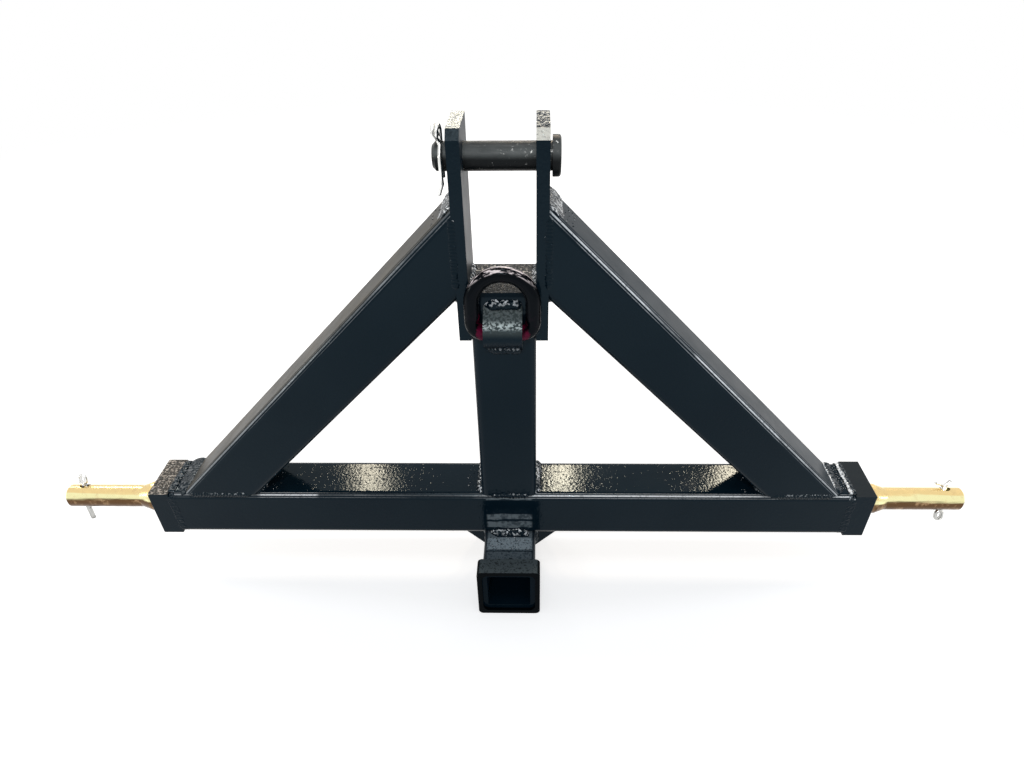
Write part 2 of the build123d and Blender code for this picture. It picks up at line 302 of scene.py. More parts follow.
@dataclass(frozen=True)
class GlossEnamel:
    """Thick blue-black gloss enamel with orange peel and dirt nibs, over plain or rough steel, with
    painted light and shade laid into its colour.

    rough_depth is the height of the steel's own roughness under the paint, in metres, and
    rough_scale its lumps per metre, of which side_rough is left on faces that don't look up. dry is
    the extra roughness of the dry overspray on faces that look sideways, and mist the
    colour of an overspray tone on a level top, above mist_floor, brighter as a painted reflection
    between the Ys of mist_band, with a dark line at mist_line. edge is the colour of the painted
    highlight lines along rounded corners and chamfers, unbroken between the X of each of runs; each of
    edge_lines gives a line's turn towards the front, its half width, the scale of its breaks and
    its strength. dust is the painted light on faces that look up to the left, top_light the
    painted light on every face that looks up, mottle the extra roughness of dull patches on level
    faces, and glint the colour of painted highlight specks on the crests of rough steel, which start
    between the two upward leans of glint_rise and are faint before the Ys of glint_back.
    glint_limits are the noise levels where a speck begins and is full, and glint_least is the share
    left between patches of specks. Glints are faint left of glint_dull and lie on a bead's left flank
    alone right of glint_ridge. glint_level keeps them between two heights, and glint_front is the
    share left on faces that look forward. smear is the colour of the painted reflection
    bands that smears gives as Z and half height, within smear_reach of the middle, and
    specular falls away before the Y of mouth, as painted shade on the receiver's end face.
    """

    name: str
    colour: Colour = (0.0016, 0.0078, 0.0148)
    bloom: Colour = (0.0034, 0.0108, 0.0185)
    tint: Colour = (0.62, 0.86, 1.0)
    specular: float = 0.125
    gloss: float = 0.06
    peel_scale: float = 330.0
    peel_depth: float = 0.00011
    nib_scale: float = 280.0
    nib_height: float = 0.00007
    rough_scale: float = 260.0
    rough_depth: float = 0.0
    side_rough: float = 1.0
    dry: float = 0.34
    # Overspray tone on a level top, with painted reflection bands and a dark line between them.
    mist: Colour | None = None
    mist_band: tuple[float, float] = (-0.0585, -0.0420)
    mist_line: float = -0.0615
    mist_floor: float = -0.04
    # Painted highlight lines along rounded corners and chamfers; runs gives the X spans where they are
    # unbroken.
    edge: Colour | None = None
    edge_lines: tuple[tuple[float, float, float, float], ...] = (
        (0.68, 0.12, 7.0, 1.0),
        (0.40, 0.05, 10.0, 0.55),
        (0.90, 0.03, 13.0, 0.4),
    )
    runs: tuple[tuple[float, float], ...] = ()
    # Painted light on faces that look up to the left.
    dust: Colour | None = None
    # Painted light on every face that looks up.
    top_light: Colour | None = None
    mottle: float = 0.0
    # Painted highlight specks on the crests of rough steel.
    glint: Colour | None = None
    glint_scale: float = 300.0
    glint_limits: tuple[float, float] = (0.54, 0.60)
    glint_least: float = 0.2
    glint_rise: tuple[float, float] = (0.12, 0.42)
    glint_level: tuple[float, float] | None = None
    glint_front: float = 1.0
    # The reflection dims on the receiver's end face, as painted shade.
    mouth: float | None = None
    glint_back: tuple[float, float] | None = None
    glint_dull: float | None = None
    glint_ridge: float | None = None
    # Painted reflection bands across the middle of a front face.
    smear: Colour | None = None
    smears: tuple[tuple[float, float], ...] = ()
    smear_reach: float = 0.029

    def build(self) -> bpy.types.Material:
        """Make the material.

        Returns:
            The finished material.
        """
        graph = Graph(self.name)
        cloud = graph.between(graph.noise(9.0, 3.0), 0.35, 0.7)
        colour = graph.blend(cloud, self.colour, self.bloom)
        # Layers of painted light over the enamel: an overspray tone with painted reflection bands, painted
        # light on tops, painted highlight specks, painted light from the left, painted reflection bands on a
        # front and painted highlight lines along corners.
        layers = (
            (self.mist, self.add_mist),
            (self.top_light, self.add_top_light),
            (self.glint, self.add_glints),
            (self.dust, self.add_dust),
            (self.smear, self.add_smears),
            (self.edge, self.add_edges),
        )
        for tone, add in layers:
            if tone is not None:
                colour = add(graph, colour)
        sideways = graph.math("ABSOLUTE", graph.lean("X"))
        gloss = graph.between(graph.noise(38.0, 4.0), 0.3, 0.75, self.gloss, self.gloss + 0.05)
        rough = graph.math("ADD", gloss, graph.between(sideways, 0.4, 0.65, 0.0, self.dry))
        if self.mottle:
            up = graph.between(graph.lean("Z"), 0.6, 0.8)
            patches = graph.between(graph.noise(330.0, 4.0, 0.6), 0.47, 0.55, 0.0, self.mottle)
            rough = graph.math("ADD", rough, graph.times(patches, up))
        specular: Socket | float = self.specular
        # Painted shade: the reflection dims on the receiver's end face.
        if self.mouth is not None:
            dim = 0.25 * self.specular
            specular = graph.between(graph.at("Y"), self.mouth - 0.001, self.mouth, dim, self.specular)
        graph.surface(
            base_color=colour,
            roughness=rough,
            specular_ior_level=specular,
            specular_tint=self.tint,
            normal=self.skin(graph),
        )
        return graph.material

    def add_mist(self, graph: Graph, colour: Socket) -> Socket:
        """Lay an overspray tone on the level top of the receiver, with painted reflection bands before the
        crossbar.

        Args:
            graph: the material's graph.
            colour: colour of the clean enamel.

        Returns:
            The colour with its overspray tone and painted reflection.
        """
        depth = graph.at("Y")
        front, back = self.mist_band
        inside = graph.between(depth, front - 0.001, front + 0.001)
        band = graph.times(inside, graph.between(depth, back, back + 0.004, 1.0, 0.25))
        # Dark line between the painted reflection bands.
        clear = graph.between(graph.gap(depth, self.mist_line), 0.0004, 0.0012)
        specks = graph.between(graph.noise(420.0, 3.0, 0.6), 0.52, 0.6, 1.0, 0.35)
        level = graph.math("ADD", 0.33, graph.times(band, 0.67))
        up = graph.between(graph.lean("Z"), 0.75, 0.97)
        outside = graph.between(graph.at("Z"), self.mist_floor - 0.004, self.mist_floor)
        return graph.blend(graph.times(level, specks, clear, up, outside), colour, self.mist)

    def add_dust(self, graph: Graph, colour: Socket) -> Socket:
        """Paint light on the faces that look up and to the left.

        Args:
            graph: the material's graph.
            colour: colour of the clean enamel.

        Returns:
            The colour with its painted light.
        """
        left = graph.between(graph.lean("X"), -0.75, -0.45, 1.0, 0.0)
        up = graph.between(graph.lean("Z"), 0.3, 0.65)
        cloud = graph.between(graph.noise(22.0, 4.0, 0.6), 0.3, 0.7, 0.55, 1.0)
        return graph.blend(graph.times(left, up, cloud), colour, self.dust)

    def add_top_light(self, graph: Graph, colour: Socket) -> Socket:
        """Paint light on every face that looks up."""
        return graph.blend(graph.between(graph.lean("Z"), 0.05, 0.55), colour, self.top_light)

    def add_glints(self, graph: Graph, colour: Socket) -> Socket:
        """Paint highlight specks on the crests of rough steel, on the faces that look up.

        Args:
            graph: the material's graph.
            colour: colour between the painted highlight specks.

        Returns:
            The colour with its painted highlight specks.
        """
        # Painted highlight: light specks where the noise peaks, on faces that look up.
        lean = graph.lean("Z")
        glint_specks = graph.between(graph.noise(self.glint_scale, 2.0, 0.5), *self.glint_limits)
        patches = graph.between(graph.noise(60.0, 2.0), 0.4, 0.56, self.glint_least, 1.0)
        share = graph.times(graph.between(lean, *self.glint_rise), glint_specks, patches)
        if self.glint_level is not None:
            height = graph.at("Z")
            low, high = self.glint_level
            begun = graph.between(height, low - 0.003, low)
            share = graph.times(share, begun, graph.between(height, high, high + 0.004, 1.0, 0.1))
        if self.glint_front < 1.0:
            ahead = graph.between(graph.lean("Y"), -0.75, -0.5, self.glint_front, 1.0)
            share = graph.times(share, ahead)
        if self.glint_back is not None:
            share = graph.times(share, graph.between(graph.at("Y"), *self.glint_back, 0.02, 1.0))
        across = graph.at("X")
        if self.glint_dull is not None:
            faint = graph.between(across, self.glint_dull - 0.004, self.glint_dull, 0.16, 1.0)
            share = graph.times(share, faint)
        if self.glint_ridge is not None:
            turned = graph.lean("X")
            left = graph.between(turned, -0.8, -0.55)
            right = graph.between(turned, -0.2, -0.02, 1.0, 0.0)
            broken = graph.between(graph.noise(240.0, 2.0), 0.36, 0.5, 0.35, 1.0)
            flank = graph.times(left, right, broken, graph.between(lean, 0.3, 0.55))
            outer = graph.between(across, self.glint_ridge - 0.002, self.glint_ridge)
            plain = graph.times(share, graph.math("SUBTRACT", 1.0, graph.times(outer, 0.86)))
            share = graph.math("MAXIMUM", plain, graph.times(flank, outer))
        return graph.blend(share, colour, self.glint)

    def add_smears(self, graph: Graph, colour: Socket) -> Socket:
        """Paint reflection bands across the middle of a front face.

        Args:
            graph: the material's graph.
            colour: colour of the clean enamel.

        Returns:
            The colour with its painted reflection bands.
        """
        waver = graph.between(graph.noise(45.0, 2.0), 0.3, 0.7, -0.0012, 0.0012)
        height = graph.math("ADD", graph.at("Z"), waver)
        total: Socket | float = 0.0
        for middle, half in self.smears:
            band = graph.between(graph.gap(height, middle), half - 0.0008, half + 0.0006, 1.0, 0.0)
            total = graph.math("MAXIMUM", total, band)
        away = graph.math("ABSOLUTE", graph.at("X"))
        near = graph.between(away, self.smear_reach - 0.003, self.smear_reach, 1.0, 0.0)
        front = graph.between(graph.lean("Y"), -0.95, -0.8, 1.0, 0.0)
        patchy = graph.between(graph.noise(140.0, 3.0, 0.6), 0.36, 0.56, 0.35, 1.0)
        return graph.blend(graph.times(total, near, front, patchy), colour, self.smear)

    def add_edges(self, graph: Graph, colour: Socket) -> Socket:
        """Paint highlight lines along the rounded corners between a front and a top.

        Args:
            graph: the material's graph.
            colour: colour of the plain faces.

        Returns:
            The colour with its painted highlight lines.
        """
        # Painted highlight: light lines at set turns of the corner's normal.
        turned = graph.math("ABSOLUTE", graph.lean("Y"))
        across = graph.at("X")
        whole: Socket | float = 0.0
        for low, high in self.runs:
            begun = graph.between(across, low - 0.01, low)
            run = graph.times(begun, graph.between(across, high, high + 0.01, 1.0, 0.0))
            whole = graph.math("MAXIMUM", whole, run)
        total: Socket | float = 0.0
        for middle, half, scale, strength in self.edge_lines:
            line = graph.between(graph.gap(turned, middle), 0.4 * half, half, strength, 0.0)
            broken = graph.between(graph.noise(scale, 3.0, 0.6), 0.40, 0.62, 0.22, 1.0)
            broken = graph.math("MAXIMUM", broken, whole)
            total = graph.math("MAXIMUM", total, graph.times(line, broken))
        upper = graph.between(graph.lean("Z"), 0.12, 0.26)
        specks = graph.between(graph.noise(420.0, 3.0, 0.6), 0.32, 0.5, 0.5, 1.0)
        lit = graph.math("MAXIMUM", graph.between(across, -0.1, 0.06, 0.42, 1.0), whole)
        return graph.blend(graph.times(total, upper, specks, lit), colour, self.edge)

    def skin(self, graph: Graph) -> Socket:
        """Relief of the paint's surface.

        Args:
            graph: the material's graph.

        Returns:
            The bumped normal.
        """
        normal = graph.relief(graph.noise(self.peel_scale, 2.0), self.peel_depth)
        chosen = graph.between(graph.noise(150.0, 2.0), 0.47, 0.55)
        nibs = graph.times(graph.between(graph.cells(self.nib_scale), 0.06, 0.42, 1.0, 0.0), chosen)
        normal = graph.relief(nibs, self.nib_height, normal)
        if self.rough_depth:
            lumps = graph.noise(self.rough_scale, 3.0, 0.55)
            if self.side_rough < 1.0:
                lumps = graph.times(lumps, graph.between(graph.lean("Z"), 0.3, 0.7, self.side_rough, 1.0))
            normal = graph.relief(lumps, self.rough_depth, normal)
        return normal


@dataclass(frozen=True)
class ZincPlate:
    """Zinc plate on turned or drawn steel, with painted highlight and shade bands round the pin.

    low and high are the colours of the lower and upper flanks, and crest that of the face between them,
    by the height over the frame's origin as a share of radius: painted shade below, painted highlight
    and reflection above.
    """

    name: str
    low: Colour
    crest: Colour
    high: Colour
    stain: Colour
    radius: float = 0.014
    rough: float = 0.24

    def build(self) -> bpy.types.Material:
        """Make the material.

        Returns:
            The finished material.
        """
        graph = Graph(self.name)
        streaks = graph.noise(60.0, 4.0, 0.6, graph.stretched((0.25, 3.0, 3.0)))
        wander = graph.between(streaks, 0.3, 0.7, -0.1, 0.1)
        # Painted shade and highlight bands by height round the pin: dark below, pale at the crest, orange
        # above.
        rise = graph.math("ADD", graph.math("DIVIDE", graph.at("Z"), self.radius), wander)
        lower = graph.blend(graph.between(rise, 0.28, 0.5), self.low, self.crest)
        flank = graph.blend(graph.between(rise, 0.74, 0.9), lower, self.high)
        cloud = graph.between(graph.noise(95.0, 4.0, 0.65), 0.52, 0.78, 0.0, 0.55)
        graph.surface(
            base_color=graph.blend(cloud, flank, self.stain),
            metallic=1.0,
            roughness=graph.between(graph.noise(140.0, 3.0), 0.3, 0.8, self.rough - 0.06, self.rough + 0.12),
        )
        turning = graph.noise(2600.0, 2.0, 0.5, graph.stretched((1.0, 0.04, 0.04)))
        pits = graph.relief(graph.noise(420.0, 3.0), 0.00004)
        graph.surface(normal=graph.relief(turning, 0.000012, pits))
        return graph.material


@dataclass(frozen=True)
class WornPaint:
    """Semi-matt black paint on a pin, rubbed through to steel in specks and short scratches, with a painted
    highlight band along its upper flank.
    """

    name: str
    paint: Colour = (0.004, 0.006, 0.0072)
    # Colour of a painted highlight band along the pin's upper flank.
    dust: Colour = (0.122, 0.136, 0.138)
    steel: Colour = (0.45, 0.46, 0.45)

    def build(self) -> bpy.types.Material:
        """Make the material.

        Returns:
            The finished material.
        """
        graph = Graph(self.name)
        # Painted highlight: a lighter band along the upper flank, fainter on the very top.
        up = graph.lean("Z")
        lit_band = graph.times(graph.between(up, -0.05, 0.42), graph.between(up, 0.55, 0.95, 1.0, 0.45))
        cloud = graph.noise(60.0, 4.0, 0.6, graph.stretched((0.5, 1.0, 1.0)))
        patchy = graph.between(cloud, 0.3, 0.7, 0.55, 1.0)
        colour = graph.blend(graph.times(lit_band, patchy), self.paint, self.dust)
        scuffs = graph.noise(330.0, 5.0, 0.7, graph.stretched((0.7, 1.0, 1.0)))
        more = graph.times(graph.between(graph.at("X"), -0.01, 0.02, 0.0, 0.07), lit_band)
        specks = graph.between(graph.math("ADD", scuffs, more), 0.64, 0.7)
        graph.surface(
            base_color=graph.blend(specks, colour, self.steel),
            metallic=graph.times(specks, 0.5),
            roughness=graph.between(graph.noise(90.0, 3.0), 0.3, 0.7, 0.3, 0.42),
            specular_ior_level=0.12,
            normal=graph.relief(graph.noise(480.0, 4.0, 0.6), 0.00015),
        )
        return graph.material


@dataclass(frozen=True)
class OversprayedRed:
    """Gloss red paint, most of it under black overspray that thins towards the pivot, with painted highlight
    streaks along the top arc.

    glow is the black where the red under it shows through. arc_middle is the height of the centre of
    the ring's top arc, arc_pace how far a pattern moves for a radian round it, pivot the height above
    which the overspray thickens, over fade, and reach the X beyond which the ring is black.
    """

    name: str
    red: Colour = (0.13, 0.003, 0.03)
    black: Colour = (0.0012, 0.0020, 0.0034)
    glow: Colour = (0.010, 0.0038, 0.009)
    # Colour of the painted highlight streaks along the top arc.
    highlight_streak: Colour = (0.97, 0.88, 0.91)
    arc_middle: float = 0.293
    arc_pace: float = 0.006
    pivot: float = 0.262
    fade: float = 0.03
    reach: float = 0.026

    def build(self) -> bpy.types.Material:
        """Make the material.

        Returns:
            The finished material.
        """
        graph = Graph(self.name)
        height = graph.math("SUBTRACT", graph.at("Z"), self.pivot)
        cover = graph.math("DIVIDE", height, self.fade)
        width = graph.math("ABSOLUTE", graph.at("X"))
        outside = graph.between(width, self.reach - 0.004, self.reach + 0.004)
        drift = graph.between(graph.noise(110.0, 4.0, 0.6), 0.25, 0.75, -0.5, 0.5)
        cover = graph.between(graph.math("ADD", graph.math("ADD", cover, outside), drift), 0.0, 0.7)
        thin = graph.between(graph.noise(70.0, 4.0, 0.65), 0.56, 0.72, 0.0, 0.6)
        black = graph.blend(thin, self.black, self.glow)
        along = self.round_the_arc(graph)
        brushed = graph.noise(260.0, 4.0, 0.65, along)
        # Painted highlight: light streaks along the upper face of the top arc.
        streaks = graph.between(graph.noise(420.0, 3.0, 0.6, along), 0.49, 0.56)
        up = graph.between(graph.lean("Z"), 0.42, 0.64)
        arc = graph.between(graph.at("Z"), self.arc_middle - 0.002, self.arc_middle + 0.014)
        share = graph.times(streaks, up, arc)
        body = graph.blend(cover, self.red, black)
        graph.surface(
            base_color=graph.blend(share, body, self.highlight_streak),
            roughness=0.12,
            specular_ior_level=0.07,
            specular_tint=(0.75, 0.88, 1.0),
            normal=graph.relief(brushed, 0.0005),
        )
        return graph.material

    def round_the_arc(self, graph: Graph) -> Socket:
        """Coordinates that run along the ring's top arc, so that strokes follow it.

        Args:
            graph: the material's graph.

        Returns:
            Coordinates in metres, a quarter as long along the arc as across it.
        """
        x = graph.at("X")
        rise = graph.math("SUBTRACT", graph.at("Z"), self.arc_middle)
        across = graph.math("SQRT", graph.math("ADD", graph.times(x, x), graph.times(rise, rise)))
        turn = graph.math("ARCTAN2", x, graph.math("MAXIMUM", rise, 0.001))
        node = graph.tree.nodes.new("ShaderNodeCombineXYZ")
        graph.feed(node.inputs["X"], graph.times(turn, self.arc_pace))
        graph.feed(node.inputs["Y"], graph.at("Y"))
        graph.feed(node.inputs["Z"], across)
        return node.outputs["Vector"]


class Finish(Enum):
    """Every finish on the object."""

    # Painted highlight lines along the corners, and painted light on faces that look up to the left.
    TUBE = GlossEnamel(
        "tube_enamel",
        edge=(0.78, 0.84, 0.9),
        runs=((0.075, 0.14), (0.2, 0.3)),
        dust=(0.043, 0.034, 0.018),
    )
    # Painted highlight lines along its corners, and painted reflection bands on its front above the receiver.
    CROSSBAR = GlossEnamel(
        "crossbar_enamel",
        edge=(0.86, 0.9, 0.94),
        runs=((-0.300, -0.235), (0.035, 0.275)),
        smear=(0.135, 0.168, 0.19),
        smears=((0.0272, 0.0009), (-0.0030, 0.0046), (-0.0165, 0.0052)),
    )
    # Overspray tone with painted reflection bands on the receiver's top, and painted shade on its end face.
    RECEIVER = GlossEnamel("receiver_enamel", mist=(0.23, 0.285, 0.33), mouth=-0.0945)
    # A shaded copy of the enamel: darker colour and a dimmer reflection, as painted shade; its top carries
    # the overspray tone.
    COLLAR = GlossEnamel(
        "collar_enamel",
        colour=(0.0008, 0.0016, 0.0026),
        bloom=(0.0014, 0.0026, 0.0038),
        specular=0.025,
        gloss=0.2,
        mist=(0.12, 0.155, 0.175),
        mist_band=(-0.2, -0.19),
    )
    # Painted highlight specks on its top, and a dim painted highlight line on its chamfer.
    LEFT_PLATE = GlossEnamel(
        "flame_cut_plate_enamel",
        rough_depth=0.0006,
        rough_scale=300.0,
        side_rough=0.2,
        edge=(0.055, 0.065, 0.07),
        glint=(0.75, 0.75, 0.62),
        glint_limits=(0.40, 0.52),
        glint_least=0.8,
        glint_rise=(0.78, 0.92),
    )
    # Painted highlight specks on its top, and a bright painted highlight along its chamfer.
    RIGHT_PLATE = GlossEnamel(
        "scaled_plate_enamel",
        rough_depth=0.0016,
        rough_scale=330.0,
        side_rough=0.12,
        mottle=0.75,
        edge=(0.78, 0.78, 0.72),
        runs=((0.0, 0.1),),
        glint=(0.8, 0.8, 0.72),
        glint_limits=(0.52, 0.57),
        glint_least=0.5,
    )
    # Painted light on its top, with painted highlight specks.
    BLOCK = GlossEnamel(
        "rolled_block_enamel",
        rough_depth=0.0022,
        rough_scale=260.0,
        side_rough=0.0,
        top_light=(0.052, 0.046, 0.038),
        glint=(0.56, 0.51, 0.46),
        glint_scale=330.0,
        glint_limits=(0.48, 0.64),
        glint_least=0.6,
    )
    # Painted light on its top.
    SMOOTH_BLOCK = GlossEnamel("smooth_block_enamel", gloss=0.2, dry=0.2, top_light=(0.014, 0.018, 0.022))
    # Painted light on its top, with painted highlight specks that fade towards the front.
    CAP = GlossEnamel(
        "cap_plate_enamel",
        rough_depth=0.0016,
        rough_scale=330.0,
        side_rough=0.05,
        specular=0.05,
        mottle=0.5,
        top_light=(0.026, 0.029, 0.031),
        glint=(0.72, 0.69, 0.65),
        glint_scale=330.0,
        glint_limits=(0.54, 0.62),
        glint_least=0.3,
        glint_back=(-0.010, 0.0),
    )
    # Painted light on its upper faces, and a band of painted highlight specks across its bend.
    BRACKET = GlossEnamel(
        "bracket_enamel",
        gloss=0.16,
        rough_depth=0.0006,
        rough_scale=420.0,
        top_light=(0.045, 0.058, 0.06),
        glint=(0.72, 0.84, 0.86),
        glint_scale=420.0,
        glint_limits=(0.43, 0.57),
        glint_least=0.7,
        glint_rise=(0.2, 0.4),
        glint_level=(0.2732, 0.2740),
    )
    # Painted highlight specks on the beads' upper faces, faint on the left and in lines on the right.
    WELD = GlossEnamel(
        "weld_enamel",
        gloss=0.05,
        peel_depth=0.0002,
        rough_depth=0.0012,
        rough_scale=300.0,
        side_rough=0.15,
        dry=0.0,
        glint=(0.86, 0.92, 0.98),
        glint_scale=330.0,
        glint_limits=(0.50, 0.56),
        glint_least=0.3,
        glint_front=0.6,
        glint_dull=-0.36,
        glint_ridge=0.36,
    )
    HEAD_WELD = replace(WELD, name="head_weld_enamel", glint_front=0.0, glint_dull=None, glint_ridge=None)
    PLAIN_WELD = GlossEnamel(
        "plain_weld_enamel",
        peel_depth=0.0002,
        rough_depth=0.0009,
        side_rough=0.15,
        dry=0.0,
    )
    # Painted shade and highlight bands: a dark lower flank, a pale crest and an orange upper flank.
    LINK_PIN = ZincPlate(
        "yellow_zinc_plate",
        low=(0.105, 0.057, 0.026),
        crest=(0.91, 0.86, 0.47),
        high=(0.86, 0.65, 0.30),
        stain=(0.60, 0.40, 0.22),
    )
    # Painted shade: the lower flank darker than the crest.
    WIRE = ZincPlate(
        "bright_zinc_wire",
        low=(0.5, 0.5, 0.48),
        crest=(0.8, 0.8, 0.78),
        high=(0.8, 0.8, 0.78),
        stain=(0.42, 0.42, 0.4),
        rough=0.2,
    )
    # Black pin paint with a painted highlight band along its upper flank.
    TOP_PIN = WornPaint("worn_pin_paint")
    # Red under black overspray, with painted highlight streaks along the top arc.
    RING = OversprayedRed("oversprayed_ring_paint")


class Palette:
    """Materials made so far, one for each finish."""

    def __init__(self) -> None:
        """Start with no material."""
        self.made: dict[Finish, bpy.types.Material] = {}

    def get(self, finish: Finish) -> bpy.types.Material:
        """Material of a finish, made when first asked for.

        Args:
            finish: the finish.

        Returns:
            Its material.
        """
        if finish not in self.made:
            self.made[finish] = finish.value.build()
        return self.made[finish]


# Building


def grow(bm: Mesh, edges: list[Edge]) -> tuple[list[Vert], list[Edge]]:
    """Extrude a row of edges where it lies.

    Args:
        bm: the mesh.
        edges: the row.

    Returns:
        The new row's vertices and edges.
    """
    made = bmesh.ops.extrude_edge_only(bm, edges=edges)["geom"]
    verts = [item for item in made if isinstance(item, Vert)]
    return verts, [item for item in made if isinstance(item, Edge)]


def once(items: Iterable[Vert | Edge]) -> list[Vert | Edge]:
    """Items without repeats, in the order that they come in."""
    return list(dict.fromkeys(items))


def close(bm: Mesh, *loops: list[Edge]) -> None:
    """Fill open loops of edges, one face each."""
    for loop in loops:
        bmesh.ops.contextual_create(bm, geom=loop)


def join(whole: Mesh, part: Mesh) -> None:
    """Add one mesh to another.

    Args:
        whole: the mesh that grows.
        part: the mesh that goes into it, which is freed.
    """
    spare = bpy.data.meshes.new("spare")
    part.to_mesh(spare)
    part.free()
    whole.from_mesh(spare)
    bpy.data.meshes.remove(spare)


@dataclass
class Workshop:
    """Turns finished meshes into pieces and dresses the frame's own nodes."""

    palette: Palette

    def dress(self, node: str, finish: Finish) -> None:
        """Give a frame node its finish.

        Args:
            node: the node's name.
            finish: its finish.
        """
        material = self.palette.get(finish)
        for slot in FRAME["nodes"][node].material_slots:
            slot.material = material
        LOG.info("dressed %s in %s", node, finish.value.name)

    def add(self, bm: Mesh, name: str, body: Body, finish: Finish, slot: str,
            replaces: tuple[str, ...] = ()) -> None:
        """Close a mesh and add it to the scene as a piece.

        Args:
            bm: the mesh, in place, which is freed.
            name: the piece's name.
            body: the body that it rides on.
            finish: its finish.
            slot: the record's material slot; not used.
            replaces: frame nodes that it stands for.
        """
        bmesh.ops.remove_doubles(bm, verts=bm.verts, dist=MERGE_DISTANCE)
        bmesh.ops.recalc_face_normals(bm, faces=bm.faces)
        mesh = bpy.data.meshes.new(name)
        bm.to_mesh(mesh)
        bm.free()
        mesh.polygons.foreach_set("use_smooth", [True] * len(mesh.polygons))
        mesh.materials.append(self.palette.get(finish))
        piece = bpy.data.objects.new(name, mesh)
        bpy.context.scene.collection.objects.link(piece)
        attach(piece, body.value)
        if replaces:
            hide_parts(*replaces)
        LOG.info("built %s: %d faces", name, len(mesh.polygons))


@dataclass(frozen=True)
class Layout:
    """Main places of the frame, read from its nodes."""

    half: float
    flat: float
    post_top: float
    plate_outer: float
    plate_bottom: float
    seam_x: float
    heel_x: float
    toe_x: float
    head_top: float
    head_low: float
    tube_half: float
    tube_middle: float
    collar_back: float
    gusset_leg: float
    gusset_half: float
    bracket_low: float
    bracket_high: float
    bracket_half: float
    pin_z: float

    @classmethod
    def measure(cls, corner: float = 0.008) -> "Layout":
        """Read the frame's boxes.

        Args:
            corner: outer corner radius of the square tubes.

        Returns:
            The frame's main places.
        """
        bar_low, bar_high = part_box("crossbar_tube")
        cap_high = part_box("post_cap_plate")[1]
        plate_low, plate_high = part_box("right_mast_plate")
        brace_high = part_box("right_brace_tube")[1]
        tube_low, tube_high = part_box("receiver_tube")
        collar_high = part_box("receiver_collar")[1]
        gusset_low, gusset_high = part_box("right_receiver_gusset")
        strap_low, strap_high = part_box("ring_bracket")
        pin_low, pin_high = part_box("top_link_pin")
        half = bar_high[2]
        slant = 2 * half * sqrt(2)
        return cls(
            half=half,
            flat=half - corner,
            post_top=cap_high[2],
            plate_outer=plate_high[0],
            plate_bottom=plate_low[2],
            seam_x=bar_high[0],
            heel_x=brace_high[0],
            toe_x=brace_high[0] - slant,
            head_top=brace_high[2],
            head_low=brace_high[2] - slant,
            tube_half=tube_high[0],
            tube_middle=(tube_low[2] + tube_high[2]) / 2,
            collar_back=collar_high[1],
            gusset_leg=gusset_high[0] - gusset_low[0],
            gusset_half=gusset_high[1],
            bracket_low=strap_low[2],
            bracket_high=strap_high[2],
            bracket_half=strap_high[0],
            pin_z=(pin_low[2] + pin_high[2]) / 2,
        )


@dataclass(frozen=True)
class Seam:
    """Straight weld seam: its ends, the way that the bead faces, and the bead's height and half width."""

    start: Point
    end: Point
    out: Point
    height: float
    half_width: float

    def mirrored(self, axis: int) -> "Seam":
        """Same seam on the other side of a middle plane.

        Args:
            axis: 0 to mirror across the middle, 1 from front to back.

        Returns:
            The mirrored seam.
        """
        def flip(point: Point) -> Point:
            """Mirror one point or direction."""
            return tuple(-value if i == axis else value for i, value in enumerate(point))

        return replace(self, start=flip(self.start), end=flip(self.end), out=flip(self.out))


def on_side(seams: list[Seam], side: Side) -> list[Seam]:
    """Seams of the right side, mirrored where the left side's are asked for."""
    return seams if side is Side.RIGHT else [seam.mirrored(0) for seam in seams]


